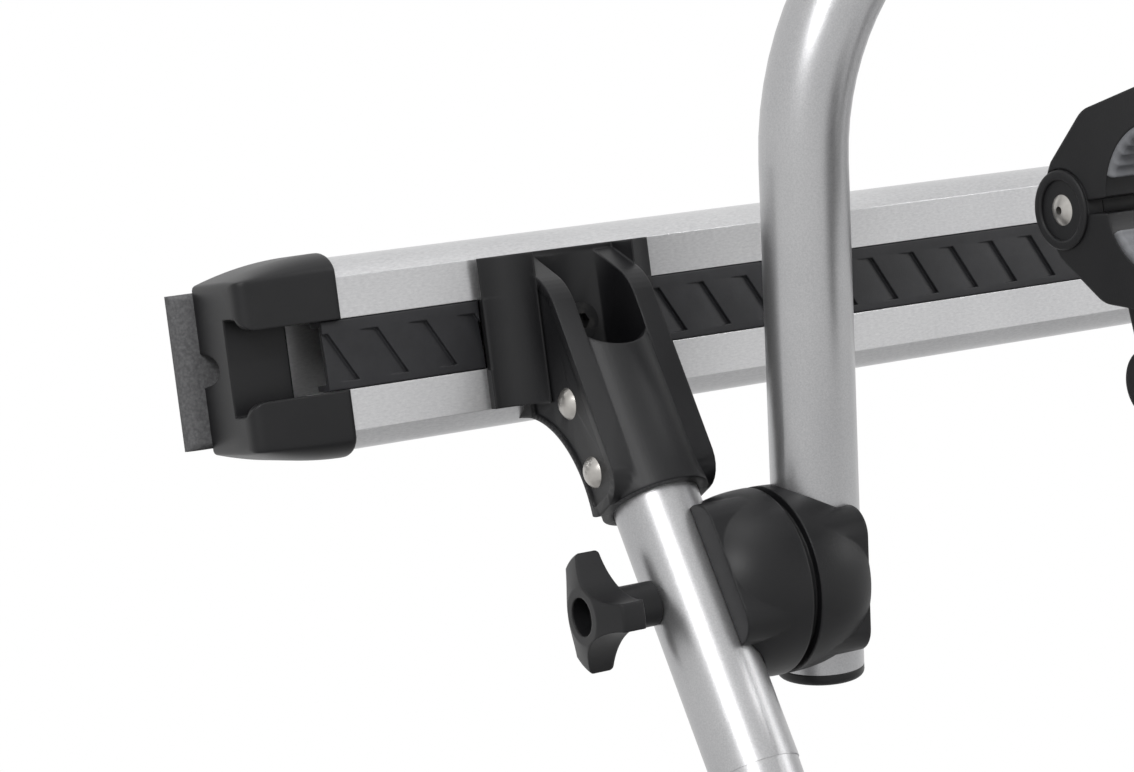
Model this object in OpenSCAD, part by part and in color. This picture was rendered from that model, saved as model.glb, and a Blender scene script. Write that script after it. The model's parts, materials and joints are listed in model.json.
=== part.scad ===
/* [Wall beams] */
// Length of each wall beam
beam_length = 1126; // [1090:2:1400]
// Height between the middles of the two beams
beam_spacing = 620; // [560:10:760]
// Height of a beam at its back
beam_height = 66; // [64:1:74]
// Height of the flat front face
beam_face = 52; // [48:1:56]
// Depth of a beam from its back to its front face
beam_depth = 36; // [34:1:42]
// Depth of the round shoulders above and below the front face
shoulder_depth = 14; // [10:1:16]
// Wall of the beam extrusion
beam_wall = 2.5; // [2:0.1:3]
// Opening of the slot in the front face
slot_mouth = 24; // [20:1:26]
// Height of the slot behind its lips
slot_height = 34; // [32:1:38]
// Depth of the slot behind its lips
slot_depth = 17; // [14:1:19]
// Thickness of the slot's lips
lip = 3; // [2:0.5:4]
// Hole-to-hole distance of the wall bolts along a beam
bolt_spacing = 1006; // [980:2:1030]
// Diameter of the holes for the wall bolts
bolt_hole = 6.6; // [5:0.1:9]

/* [Seal pads] */
// Thickness of the foam pad between a beam and the wall
pad_thickness = 6; // [4:0.5:9]
// Height of the foam pad
pad_height = 54; // [46:1:58]
// Length of pad that shows past each end cap
pad_overhang = 8; // [4:1:20]

/* [End caps] */
// Wall of the end cap over the beam
cap_wall = 2; // [1.5:0.1:3]
// Length of the cap over the beam
cap_grip = 15; // [10:1:20]
// Length of the cap past the end of the beam
cap_reach = 22; // [20:1:30]
// Radius of the round front corner of the cap
cap_corner = 20; // [12:1:20]
// Height that the cap loses towards its outer end, above and below
cap_taper = 6; // [0:0.5:8]

/* [Cover strips] */
// Thickness of the strip's face
strip_thickness = 2.4; // [1.8:0.1:3]
// Distance from one groove of the strip to the next
groove_pitch = 20; // [16:1:40]
// Depth of a groove
groove_depth = 1.4; // [0.8:0.1:1.6]
// Lean of a groove from vertical
groove_lean = 38; // [0:1:45]

/* [Tubes] */
// Diameter of the frame tubes
tube_diameter = 30; // [28:1:32]
// Wall of the frame tubes
tube_wall = 2; // [1.5:0.1:3]
// Radius of the bends, at the middle of the tube
bend_radius = 100; // [80:5:110]
// Distance between the two side tubes
side_span = 924; // [860:2:930]
// Distance of the upper hinge from the wall
hinge_out = 103; // [100:1:112]
// Height of the upper beam's middle above the upper hinge
hinge_drop = 94; // [90:1:100]
// Lean of the side tube's top from vertical
side_lean = 26; // [20:1:30]
// Length of side tube above the upper hinge
side_top = 81; // [80:1:90]
// Straight length of side tube below the upper hinge
side_knee = 62; // [50:1:80]
// Height of the lower beam's middle above the lower hinge
lower_drop = 160; // [150:1:220]
// Length of tube past each hinge
tube_end = 33; // [30:1:40]

/* [Hoop] */
// Lean of the hoop from vertical
hoop_lean = 9.2; // [4:0.1:14]
// Height of the hoop's top bar above the upper hinge
hoop_height = 240; // [215:1:330]

/* [Platform] */
// Reach of the platform's end bar past the lower hinge
platform_reach = 350; // [340:1:420]
// Radius of the platform's bends, at the middle of the tube
platform_bend = 45; // [40:1:48]
// Distance of the inner wheel rail from the lower hinge
inner_rail_out = 90; // [86:1:110]
// Distance of the outer wheel rail from the lower hinge
outer_rail_out = 280; // [230:1:285]
// Length of a wheel rail
rail_length = 1300; // [1200:10:1500]
// Width of a wheel rail
rail_width = 62; // [56:1:66]
// Height of a wheel rail
rail_height = 30; // [24:1:34]
// Wall of a wheel rail
rail_wall = 2.2; // [1.8:0.1:3]
// Distance between the two straps of a rail
strap_span = 1040; // [1010:10:1080]

/* [Ball joints] */
// Diameter of the ball
ball_diameter = 64; // [60:1:66]
// Distance from the parting face to the side tube's middle
outer_offset = 29.5; // [29:0.5:34]
// Distance from the parting face to the inner tube's middle
inner_offset = 21.5; // [21:0.5:28]
// Side of the square saddle that holds a tube
saddle_side = 50; // [48:1:51]
// Diameter of the joint bolt
joint_bolt = 8; // [6:0.5:10]

/* [Knobs] */
// Distance from a knob's middle to a lobe's tip
knob_radius = 21; // [19:0.5:26]
// Thickness of the lobes
lobe_thickness = 8.5; // [7:0.5:12]
// Diameter of the boss behind the lobes
boss_diameter = 15; // [15:0.5:20]
// Length of the boss
boss_length = 14; // [14:1:24]

/* [Brackets] */
// Wall of the moulded brackets beside a tube
plate = 4.5; // [4:0.1:7]
// Height of the pocket's rim above the upper hinge, along the tube
pocket_rim = 100; // [97:1:104]
// Height of the bracket's lower end above the upper hinge, along the tube
bracket_end = 35; // [35:1:40]
// Width of the foot past each plate
foot_wing = 24; // [12:1:24]
// Thickness of the foot
foot_thickness = 4; // [3:0.5:6]
// Diameter of a rivet's head
rivet_head = 11; // [9:0.5:13]

/* [Bike holders] */
// Distance from the short arm to the middle of the rack
short_arm_place = 262; // [200:2:270]
// Distance from the long arm to the middle of the rack
long_arm_place = 200; // [150:2:270]
// Length of the short arm from the top bar to its jaws
short_arm = 135; // [110:1:150]
// Length of the long arm from the top bar to its jaws
long_arm = 253; // [200:1:330]
// Direction of the short arm, counted from straight up
short_arm_angle = 158; // [150:1:162]
// Direction of the long arm, counted from straight up
long_arm_angle = 110; // [95:1:125]
// Diameter of the arms
arm_diameter = 22; // [20:1:24]
// Distance along the rack from an arm to its jaws
jaw_offset = 83; // [76:1:100]
// Width of the jaws
jaw_width = 28; // [26:1:34]
// Diameter of the jaw's pivot disc
jaw_hub = 26; // [24:1:28]
// Radius of the jaws' mouth, without the pads
jaw_mouth = 24; // [22:0.5:25]
// Thickness of the jaw pads
jaw_pad = 4; // [3:0.5:5]

/* [Hidden] */

$fn = 64;
// Overrun of cuts, clearance of sliding fits and gap between moving faces
over = 1;
fit = 0.05;
gap = 0.3;

// Shades of the finishes
anodised = [0.78, 0.79, 0.8];
moulded = [0.16, 0.16, 0.17];
foam = [0.5, 0.5, 0.52];
steel = [0.72, 0.71, 0.69];
blackened = [0.2, 0.2, 0.2];
rubber = [0.22, 0.22, 0.23];
grip_grey = [0.55, 0.56, 0.58];

// Places across the wall beams
beam_back = -pad_thickness;
beam_front = -(pad_thickness + beam_depth);
slot_floor = beam_front + lip + slot_depth;
upper_z = beam_spacing / 2;
lower_z = -beam_spacing / 2;
half_side = side_span / 2;
tube_radius = tube_diameter / 2;
strip_gap = 0.2;
strip_inset = 8;
bracket_half = tube_radius + gap + plate;
foot_half = bracket_half + foot_wing;
foot_neck = 13.5;
neck_half = bracket_half + foot_neck;

// Places of the hinges
hinge_z = upper_z - hinge_drop;
knee_y = -hinge_out - side_knee * sin(side_lean) + bend_radius * cos(side_lean);
knee_z = hinge_z - side_knee * cos(side_lean) - bend_radius * sin(side_lean);
post_y = knee_y - bend_radius;
lower_hinge_z = lower_z - lower_drop;
saddle_margin = 3;
lower_hinge_y = post_y - bend_radius - saddle_side / 2 - saddle_margin;
joint_span = outer_offset + inner_offset;
half_inner = half_side - joint_span;
parting_x = half_side - outer_offset;

function side_point(y, z) = [
    -hinge_out + y * cos(side_lean) + z * sin(side_lean),
    hinge_z - y * sin(side_lean) + z * cos(side_lean)
];
function unit(v) = v / norm(v);
function corner(a, b, c, r, steps) =
    let (u = unit(a - b), v = unit(c - b), half = acos(u * v) / 2)
    let (m = b + unit(u + v) * r / sin(half))
    let (s = b + u * r / tan(half) - m, e = b + v * r / tan(half) - m)
    let (from = atan2(s[1], s[0]), turn = atan2(s[0] * e[1] - s[1] * e[0], s * e))
    [for (i = [0 : steps]) m + r * [cos(from + turn * i / steps), sin(from + turn * i / steps)]];
// Outline with each corner rounded to its own radius
bend_steps = 6;
function rounded(points, radii, steps = bend_steps) = [
    for (i = [0 : len(points) - 1])
        let (n = len(points), a = points[(i + n - 1) % n], b = points[i], c = points[(i + 1) % n])
        each (radii[i] > 0 ? corner(a, b, c, radii[i], steps) : [b])
];
function box_points(w, h) = [[-w / 2, -h / 2], [w / 2, -h / 2], [w / 2, h / 2], [-w / 2, h / 2]];

// Extrudes an outline drawn as depth and height along the rack
module along_x(length) {
    rotate([90, 0, 90]) linear_extrude(length, center = true) children();
}
module mirrored_pair() {
    children();
    mirror([1, 0, 0]) children();
}
module at_side_frame(x) {
    translate([x, -hinge_out, hinge_z]) rotate([-side_lean, 0, 0]) children();
}
module at_hoop_frame() {
    translate([0, -hinge_out, hinge_z]) rotate([hoop_lean, 0, 0]) children();
}
module at_platform_frame() {
    translate([0, lower_hinge_y, lower_hinge_z]) rotate([90, 0, 0]) children();
}
module x_rod(r, length) {
    rotate([0, 90, 0]) cylinder(r = r, h = length);
}
module elbow_yz(y, z, from, sweep, r) {
    translate([0, y, z]) rotate([90, 0, 90]) rotate([0, 0, from])
        rotate_extrude(angle = sweep) translate([bend_radius, 0]) circle(r);
}

// Wall beams
module beam_outline(grow, back) {
    face_half = beam_face / 2 + grow;
    full_half = beam_height / 2 + grow;
    front = beam_front - grow;
    shoulder = front + shoulder_depth;
    rise = full_half - face_half;
    bow = (pow(shoulder_depth, 2) + pow(rise, 2)) / (2 * rise);
    translate([front, -face_half]) square([back - front, 2 * face_half]);
    translate([shoulder, -full_half]) square([back - shoulder, 2 * full_half]);
    for (side = [-1, 1]) intersection() {
        translate([shoulder, side * (full_half - bow)]) circle(bow, $fn = fine);
        translate([front, side > 0 ? 0 : -full_half]) square([shoulder_depth + over, full_half]);
    }
}
module slot_outline() {
    translate([beam_front - over, -slot_mouth / 2]) square([lip + 2 * over, slot_mouth]);
    translate([beam_front + lip, -slot_height / 2]) square([slot_depth, slot_height]);
}
module beam_hollow() {
    web = slot_height / 2 + beam_wall;
    difference() {
        beam_outline(-beam_wall, beam_back - beam_wall);
        translate([beam_front, -web]) square([lip + slot_depth + beam_wall, 2 * web]);
        for (z = [-web, web - beam_wall])
            translate([slot_floor, z]) square([beam_depth, beam_wall]);
    }
}
module wall_beam(z) {
    translate([0, 0, z]) difference() {
        along_x(beam_length) difference() {
            beam_outline(0, beam_back);
            slot_outline();
            beam_hollow();
        }
        for (x = [-1, 1]) translate([x * bolt_spacing / 2, over, 0])
            rotate([90, 0, 0]) cylinder(d = bolt_hole, h = beam_depth);
    }
}
module upper_beam() { color(anodised) wall_beam(upper_z); }
module lower_beam() { color(anodised) wall_beam(lower_z); }

// Foam pads that seal the beams against the wall
module seal_pad(z) {
    half = beam_length / 2 + cap_reach + pad_overhang;
    edge = pad_thickness / 2;
    translate([0, 0, z]) difference() {
        intersection() {
            along_x(2 * half) polygon(rounded(
                [[0, -pad_height / 2], [0, pad_height / 2], [beam_back, pad_height / 2],
                 [beam_back, -pad_height / 2]], [0, 0, edge, edge]));
            translate([0, 0, -pad_height]) linear_extrude(2 * pad_height) polygon(rounded(
                [[-half, 0], [half, 0], [half, beam_back], [-half, beam_back]], [0, 0, edge, edge]));
        }
        for (x = [-1, 1]) translate([x * bolt_spacing / 2, over, 0])
            rotate([90, 0, 0]) cylinder(d = bolt_hole, h = beam_depth);
    }
}
module seal_pads() {
    color(foam) for (z = [upper_z, lower_z]) seal_pad(z);
}

// End caps, open along the slot so that a nut slides in
notch_radius = 7;
module beam_cap(z) {
    inner = beam_length / 2 - cap_grip;
    outer = beam_length / 2 + cap_reach;
    top = beam_height / 2 + cap_wall;
    front = beam_front - cap_wall;
    translate([0, 0, z]) difference() {
        intersection() {
            translate([(inner + outer) / 2, 0, 0]) along_x(outer - inner)
                beam_outline(cap_wall, beam_back);
            translate([0, 0, -top]) linear_extrude(2 * top) polygon(rounded(
                [[inner, front], [outer, front], [outer, beam_back], [inner, beam_back]],
                [0, cap_corner, 0, 0], 2 * bend_steps));
            rotate([90, 0, 0]) linear_extrude(pad_thickness + beam_depth + 2 * cap_wall) polygon(
                [[inner, -top], [beam_length / 2, -top], [outer, -top + cap_taper],
                 [outer, top - cap_taper], [beam_length / 2, top], [inner, top]]);
        }
        translate([inner + (cap_grip - over) / 2, 0, 0]) along_x(cap_grip + over)
            beam_outline(fit, over);
        translate([inner - over, front - over, -slot_mouth / 2])
            cube([outer - inner + 2 * over, slot_floor - front + over, slot_mouth]);
        translate([outer, 0, 0]) rotate([90, 0, 0])
            cylinder(r = notch_radius, h = beam_depth + pad_thickness);
    }
}
module beam_caps(z) { color(moulded) mirrored_pair() beam_cap(z); }
module upper_beam_caps() { beam_caps(upper_z); }
module lower_beam_caps() { beam_caps(lower_z); }

// Rubber cover strips that snap into the slots between the brackets
barb_depth = 2.6;
barb_rise = 1.6;
leg_length = 7;
leg_wall = 2;
strip_joint = 0.4;
module strip_outline() {
    half = slot_mouth / 2 - strip_gap;
    back = beam_front + strip_thickness;
    barb = beam_front + lip;
    polygon([
        [beam_front, -half], [beam_front, half], [barb, half], [barb, half + barb_rise],
        [barb + barb_depth, half], [back + leg_length, half], [back + leg_length, half - leg_wall],
        [back, half - leg_wall], [back, -half + leg_wall], [back + leg_length, -half + leg_wall],
        [back + leg_length, -half], [barb + barb_depth, -half], [barb, -half - barb_rise],
        [barb, -half]
    ]);
}
ramp_share = 0.4;
groove_drop_share = 0.125;
module strip_groove() {
    ramp = ramp_share * groove_pitch;
    rotate([0, -groove_lean, 0]) translate([0, beam_front, -groove_drop_share * slot_mouth])
        linear_extrude(slot_mouth) polygon([[-ramp, 0], [0, groove_depth], [0, -over], [-ramp, -over]]);
}
module strip_piece(from, to) {
    length = to - from;
    count = floor(length / groove_pitch);
    first = from + (length - (count - 1) * groove_pitch) / 2;
    difference() {
        translate([(from + to) / 2, 0, 0]) along_x(length) strip_outline();
        for (i = [0 : count - 1]) translate([first + i * groove_pitch, 0, 0]) strip_groove();
    }
}
module cover_strips() {
    end = beam_length / 2 - strip_inset;
    joint = neck_half + strip_joint;
    color(rubber) for (z = [upper_z, lower_z]) translate([0, 0, z]) {
        strip_piece(-end, -half_side - joint);
        strip_piece(-half_side + joint, half_side - joint);
        strip_piece(half_side + joint, end);
    }
}

// Moulded brackets
foot_hook = 5;
wing_fillet = 14;
elbow_out = 26;
elbow_rise = 13.5;
flange = 8;
sleeve_wall = 3.9;
module foot(rise) {
    difference() {
        union() {
            along_x(2 * foot_half) intersection() {
                difference() {
                    beam_outline(foot_thickness, beam_back);
                    beam_outline(0, 0);
                }
                translate([beam_front - foot_thickness, -beam_face / 2 - foot_hook])
                    square([shoulder_depth, beam_face / 2 + foot_hook + slot_mouth / 2]);
            }
            along_x(2 * bracket_half) intersection() {
                difference() {
                    beam_outline(foot_thickness, beam_back);
                    beam_outline(0, 0);
                }
                translate([beam_front - foot_thickness, 0]) square([foot_thickness, rise]);
            }
            translate([0, 0, -beam_face / 2]) linear_extrude(beam_face / 2 + slot_mouth / 2)
                for (side = [-1, 1]) difference() {
                    translate([side > 0 ? plate_face - over : -plate_face - wing_fillet,
                        beam_front - foot_thickness - wing_fillet])
                        square([wing_fillet + over, wing_fillet + over]);
                    translate([side * (plate_face + wing_fillet),
                        beam_front - foot_thickness - wing_fillet]) circle(wing_fillet);
                }
        }
        for (side = [-1, 1]) mirror([side > 0 ? 0 : 1, 0, 0]) rotate([90, 0, 0])
            linear_extrude(2 * beam_depth)
            polygon([
                [neck_half, slot_mouth], [neck_half, -slot_mouth / 2], [foot_half, -beam_face / 2],
                [foot_half, -beam_face / 2 - foot_hook / 2], [foot_half - foot_hook, -beam_face],
                [2 * foot_half, -beam_face], [2 * foot_half, slot_mouth]]);
    }
    translate([0, beam_front + lip / 2, 0])
        cube([2 * bracket_half, lip + over, slot_mouth - 2 * strip_gap], center = true);
}
// Outline with every side moved inwards by one distance
function inset(points, distance) = [
    for (i = [0 : len(points) - 1])
        let (n = len(points), a = points[(i + n - 1) % n], b = points[i], c = points[(i + 1) % n])
        let (u = unit(b - a), v = unit(c - b), across = [-u[1], u[0]] + [-v[1], v[0]])
        b + winding(points) * distance * across / (1 + u * v)
];
function winding(points) = sign(sum([
    for (i = [0 : len(points) - 1]) cross(points[i], points[(i + 1) % len(points)])
]));
function sum(values, i = 0) = i < len(values) ? values[i] + sum(values, i + 1) : 0;
rim_width = 3.5;
rim_rise = 0.8;
back_rim = 2;
plate_face = bracket_half - rim_rise;
plate_round = 10;
elbow_round = 20;
heel_round = 8;
plate_front = 14;
plate_back = 9.5;
notch_round = 14;
function socket_points() = [
    [beam_front - fit, upper_z + beam_face / 2],
    [beam_front - elbow_out, upper_z + elbow_rise],
    side_point(-plate_front, bracket_end),
    side_point(plate_back, bracket_end),
    [beam_front - fit, upper_z - beam_face / 2 - foot_hook]
];
module rivet_holes() {
    for (z = rivet_places) translate([-bracket_half - over, 0, z])
        x_rod(rivet_shank / 2, 2 * bracket_half + 2 * over);
}
rivet_shank = 6;
rivet_rise = 3;
first_rivet = 14;
rivet_pitch = 26;
rivet_places = [bracket_end + first_rivet, bracket_end + first_rivet + rivet_pitch];
bolt_shank = 8;
bolt_head = 13;
bolt_head_height = 7;
scoop_share = 0.8;
fine = 128;
// Side plate with a raised rim round its recessed face, and a round bite out of its back edge if
// one is given
module rimmed_plate(side, points, radii, bite = 0, bite_centre = [0, 0]) {
    face = flange - rim_rise;
    difference() {
        union() {
            translate([side * (plate_face - face / 2), 0, 0]) along_x(face)
                polygon(rounded(points, radii));
            translate([side * (plate_face + rim_rise / 2 - over / 2), 0, 0]) along_x(rim_rise + over)
                difference() {
                    polygon(rounded(points, radii));
                    difference() {
                        polygon(rounded(inset(points, rim_width), [for (r = radii) max(0, r - rim_width)]));
                        if (bite > 0) translate(bite_centre) circle(bite + back_rim, $fn = fine);
                    }
                }
        }
        if (bite > 0) translate([0, bite_centre[0], bite_centre[1]]) rotate([0, 90, 0])
            cylinder(r = bite, h = 4 * bracket_half, center = true, $fn = fine);
    }
}
module socket_bracket() {
    sleeve = tube_radius + sleeve_wall;
    back_edge = [socket_points()[3], socket_points()[4]];
    middle = (back_edge[0] + back_edge[1]) / 2;
    run = norm(back_edge[1] - back_edge[0]);
    side = [unit(back_edge[1] - back_edge[0])[1], -unit(back_edge[1] - back_edge[0])[0]];
    scoop = scoop_share * run;
    scoop_centre = middle + side * sqrt(pow(scoop, 2) - pow(run / 2, 2));
    difference() {
        union() {
            translate([0, 0, upper_z]) foot(beam_face / 2);
            for (s = [-1, 1])
                rimmed_plate(s, socket_points(), [0, elbow_round, plate_round, heel_round, 0],
                scoop, scoop_centre);
            translate([0, -hinge_out, hinge_z]) rotate([-side_lean, 0, 0]) {
                difference() {
                    translate([0, 0, bracket_end]) cylinder(r = sleeve, h = pocket_rim - bracket_end);
                    intersection() {
                        translate([0, 0, pocket_rim]) rotate([90, 0, 0])
                            cylinder(r = notch_round, h = 4 * sleeve, center = true);
                        cube([2 * (bracket_half - flange), 4 * sleeve, 4 * pocket_rim], center = true);
                    }
                }
            }
        }
        translate([0, -hinge_out, hinge_z]) rotate([-side_lean, 0, 0]) {
            translate([0, 0, bracket_end - over])
                cylinder(r = tube_radius + fit, h = side_top + fit - bracket_end + over);
            rivet_holes();
        }
        translate([0, 0, upper_z]) along_x(3 * bracket_half) beam_outline(0, 0);
        translate([0, beam_front + lip + over, upper_z]) rotate([90, 0, 0])
            cylinder(d = bolt_shank + 2 * fit, h = lip + foot_thickness + 2 * over);
        translate([0, beam_front - foot_thickness, upper_z]) rotate([90, 0, 0])
            cylinder(d = bolt_head + 2 * gap, h = beam_depth);
    }
}
module socket_bracket_left() { color(moulded) translate([-half_side, 0, 0]) socket_bracket(); }
module socket_bracket_right() { color(moulded) translate([half_side, 0, 0]) socket_bracket(); }
lower_sleeve = 60;
lower_reach = tube_radius + sleeve_wall / 2;
function lower_points() = [
    [beam_front - fit, beam_face / 2],
    [post_y - lower_reach, lower_sleeve / 2],
    [post_y - lower_reach, -lower_sleeve / 2],
    [post_y + plate_back, -lower_sleeve / 2],
    [beam_front - fit, -beam_face / 2 - foot_hook]
];
module lower_bracket() {
    half = lower_sleeve / 2;
    sleeve = tube_radius + sleeve_wall;
    difference() {
        union() {
            foot(beam_face / 2);
            for (s = [-1, 1])
                rimmed_plate(s, lower_points(), [0, plate_round, plate_round, heel_round, 0]);
            translate([0, post_y, -half]) cylinder(r = sleeve, h = lower_sleeve);
            translate([-bracket_half + plate / 2, post_y + tube_radius, -bolt_head])
                cube([2 * bracket_half - plate,
                    beam_front - foot_thickness / 2 - post_y - tube_radius, plate / 2]);
        }
        translate([0, post_y, -half - over]) cylinder(r = tube_radius + fit, h = lower_sleeve + 2 * over);
        along_x(3 * bracket_half) beam_outline(0, 0);
        for (z = [-half / 2, half / 2]) translate([-bracket_half - over, post_y, z])
            x_rod(rivet_shank / 2, 2 * bracket_half + 2 * over);
        translate([0, beam_front + lip + over, 0]) rotate([90, 0, 0])
            cylinder(d = bolt_shank + 2 * fit, h = lip + foot_thickness + 2 * over);
    }
}
module lower_bracket_left() { color(moulded) translate([-half_side, 0, lower_z]) lower_bracket(); }
module lower_bracket_right() { color(moulded) translate([half_side, 0, lower_z]) lower_bracket(); }

// Rivets through the brackets and tubes
module rivet_dome(r, rise) {
    bow = (pow(r, 2) + pow(rise, 2)) / (2 * rise);
    rotate_extrude() intersection() {
        translate([0, rise - bow]) circle(bow, $fn = fine);
        square([r + over, rise + over]);
    }
}
module rivet() {
    translate([-plate_face, 0, 0]) x_rod(rivet_shank / 2, 2 * plate_face);
    for (s = [-1, 1]) translate([s * plate_face, 0, 0]) rotate([0, s * 90, 0])
        rivet_dome(rivet_head / 2, rivet_rise);
}
module bracket_rivets() {
    color(steel) for (x = [-half_side, half_side]) {
        at_side_frame(x) for (z = rivet_places) translate([0, 0, z]) rivet();
        for (z = [-lower_sleeve / 4, lower_sleeve / 4]) translate([x, post_y, lower_z + z]) rivet();
    }
}
socket_share = 0.75;
module hex_bolt(length) {
    cylinder(d = bolt_shank, h = length);
    translate([0, 0, length]) difference() {
        cylinder(d = bolt_head, h = bolt_head_height);
        translate([0, 0, bolt_head_height / 2])
            cylinder(d = socket_share * bolt_shank, h = bolt_head_height, $fn = 6);
    }
}
nut_height = 8;
nut_length = 50;
nut_corner = 4;
module bracket_bolts() {
    reach = foot_thickness + lip + nut_height;
    color(blackened) for (x = [-half_side, half_side], z = [upper_z, lower_z])
        translate([x, beam_front + lip + nut_height, z]) rotate([90, 0, 0]) hex_bolt(reach);
}
module slot_nuts() {
    color(steel) for (x = [-half_side, half_side], z = [upper_z, lower_z])
        translate([x, beam_front + lip + nut_height, z]) rotate([90, 0, 0]) difference() {
            linear_extrude(nut_height) polygon(rounded(
                box_points(nut_length, slot_height - 2 * gap), [for (i = [1 : 4]) nut_corner]));
            translate([0, 0, -over]) cylinder(d = bolt_shank, h = nut_height + 2 * over);
        }
}

// Side tubes, one piece each from the upper bracket to the lower hinge
stub_y = lower_hinge_y - tube_end;
// The upper bend is a hair slimmer and its neighbours run a little way over it
bend_ease = 0.3;
bend_overlap = 1;
module side_path(r, more) {
    translate([0, -hinge_out, hinge_z]) rotate([-side_lean, 0, 0])
        translate([0, 0, -side_knee - bend_overlap])
        cylinder(r = r, h = side_knee + bend_overlap + side_top + more);
    elbow_yz(knee_y, knee_z, 180 - side_lean, side_lean, r - bend_ease);
    translate([0, post_y, lower_hinge_z + bend_radius])
        cylinder(r = r, h = knee_z + bend_overlap - lower_hinge_z - bend_radius);
    elbow_yz(post_y - bend_radius, lower_hinge_z + bend_radius, -90, 90, r);
    translate([0, post_y - bend_radius, lower_hinge_z]) rotate([90, 0, 0])
        cylinder(r = r, h = post_y - bend_radius - stub_y + more);
}
module side_tube() {
    difference() {
        side_path(tube_radius, 0);
        side_path(tube_radius - tube_wall, over);
        at_side_frame(0) {
            rivet_holes();
            translate([-tube_diameter, 0, 0]) x_rod(joint_bolt / 2 + fit, 2 * tube_diameter);
        }
        for (z = [-lower_sleeve / 4, lower_sleeve / 4]) translate([-bracket_half, post_y, lower_z + z])
            x_rod(rivet_shank / 2, 2 * bracket_half);
        translate([-tube_diameter, lower_hinge_y, lower_hinge_z])
            x_rod(joint_bolt / 2 + fit, 2 * tube_diameter);
    }
}
module side_tube_left() { color(anodised) translate([-half_side, 0, 0]) side_tube(); }
module side_tube_right() { color(anodised) translate([half_side, 0, 0]) side_tube(); }

// Moulded plugs in the open tube ends, drawn with the tube's end at zero
plug_cap = 4;
plug_depth = 14;
module tube_plug() {
    edge = plug_cap / 2;
    rotate_extrude() polygon(rounded([
        [0, -plug_cap], [tube_radius, -plug_cap], [tube_radius, 0],
        [tube_radius - tube_wall, 0], [tube_radius - tube_wall, plug_depth], [0, plug_depth]
    ], [0, edge, 0, 0, 0, 0]));
}
module side_tube_plugs() {
    color(moulded) for (x = [-half_side, half_side])
        translate([x, stub_y, lower_hinge_z]) rotate([-90, 0, 0]) tube_plug();
}

// Hoop and platform, the same bent tube on two hinges
module u_path(height, bend, r, more) {
    top = height - bend;
    for (x = [-half_inner, half_inner]) translate([x, 0, -tube_end - more])
        cylinder(r = r, h = tube_end + top + more);
    translate([half_inner - bend, 0, top]) rotate([90, 0, 0])
        rotate_extrude(angle = 90) translate([bend, 0]) circle(r);
    translate([bend - half_inner, 0, top]) rotate([90, 0, 0]) rotate([0, 0, 90])
        rotate_extrude(angle = 90) translate([bend, 0]) circle(r);
    translate([bend - half_inner, 0, height]) x_rod(r, 2 * (half_inner - bend));
}
module u_tube(height, bend) {
    difference() {
        u_path(height, bend, tube_radius, 0);
        u_path(height, bend, tube_radius - tube_wall, over);
        for (x = [-half_inner, half_inner]) translate([x - tube_diameter, 0, 0])
            x_rod(joint_bolt / 2, 2 * tube_diameter);
    }
}
module u_plugs() {
    for (x = [-half_inner, half_inner]) translate([x, 0, -tube_end]) tube_plug();
}
module hoop_tube() { color(anodised) at_hoop_frame() u_tube(hoop_height, bend_radius); }
module hoop_tube_plugs() { color(moulded) at_hoop_frame() u_plugs(); }
module platform_tube() { color(anodised) at_platform_frame() u_tube(platform_reach, platform_bend); }
module platform_tube_plugs() { color(moulded) at_platform_frame() u_plugs(); }

// Ball joint halves, drawn with the parting face at zero and the tube along z
groove = 1.6;
groove_step = 3;
saddle_corner = 9;
outer_wrap = -2.5;
inner_wrap = 4;
module joint_half(offset, wrap, hole) {
    ball = ball_diameter / 2;
    end = offset + wrap;
    difference() {
        union() {
            rotate([0, 90, 0]) rotate_extrude() {
                intersection() {
                    circle(ball, $fn = 96);
                    translate([0, groove]) square([ball + over, end - groove]);
                }
                translate([0, gap / 2]) square([ball - groove_step, groove]);
            }
            translate([(groove + end) / 2, 0, 0]) along_x(end - groove)
                polygon(rounded(box_points(saddle_side, saddle_side), [for (i = [1 : 4]) saddle_corner]));
        }
        translate([offset, 0, -ball_diameter]) cylinder(r = tube_radius + fit, h = 2 * ball_diameter);
        translate([-over, 0, 0]) x_rod(hole, offset + ball_diameter);
    }
}
module outer_half() {
    translate([-parting_x, 0, 0]) mirror([1, 0, 0])
        joint_half(outer_offset, outer_wrap, joint_bolt / 2 + fit);
}
module inner_half() {
    translate([-parting_x, 0, 0]) joint_half(inner_offset, inner_wrap, joint_bolt / 2);
}
module upper_outer_shells() {
    color(moulded) mirrored_pair() at_side_frame(0) outer_half();
}
module lower_outer_shells() { color(moulded) mirrored_pair() at_platform_frame() outer_half(); }
module upper_inner_shells() { color(moulded) mirrored_pair() at_hoop_frame() inner_half(); }
module lower_inner_shells() { color(moulded) mirrored_pair() at_platform_frame() inner_half(); }

// Joint bolts, headed on the inner tube and running out into the knobs
joint_head = 11;
joint_head_rise = 3.5;
thread_reach = 13;
knob_x = half_side + tube_radius + gap;
module joint_bolt_piece() {
    inner = half_inner - tube_radius;
    translate([inner, 0, 0]) x_rod(joint_bolt / 2, knob_x + thread_reach - inner);
    difference() {
        translate([inner, 0, 0]) rotate([0, -90, 0]) rivet_dome(joint_head / 2, joint_head_rise);
        translate([half_inner, 0, -tube_diameter]) cylinder(r = tube_radius, h = 2 * tube_diameter);
    }
}
module upper_joint_bolts() { color(steel) at_hoop_frame() mirrored_pair() joint_bolt_piece(); }
module lower_joint_bolts() { color(steel) at_platform_frame() mirrored_pair() joint_bolt_piece(); }

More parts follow.
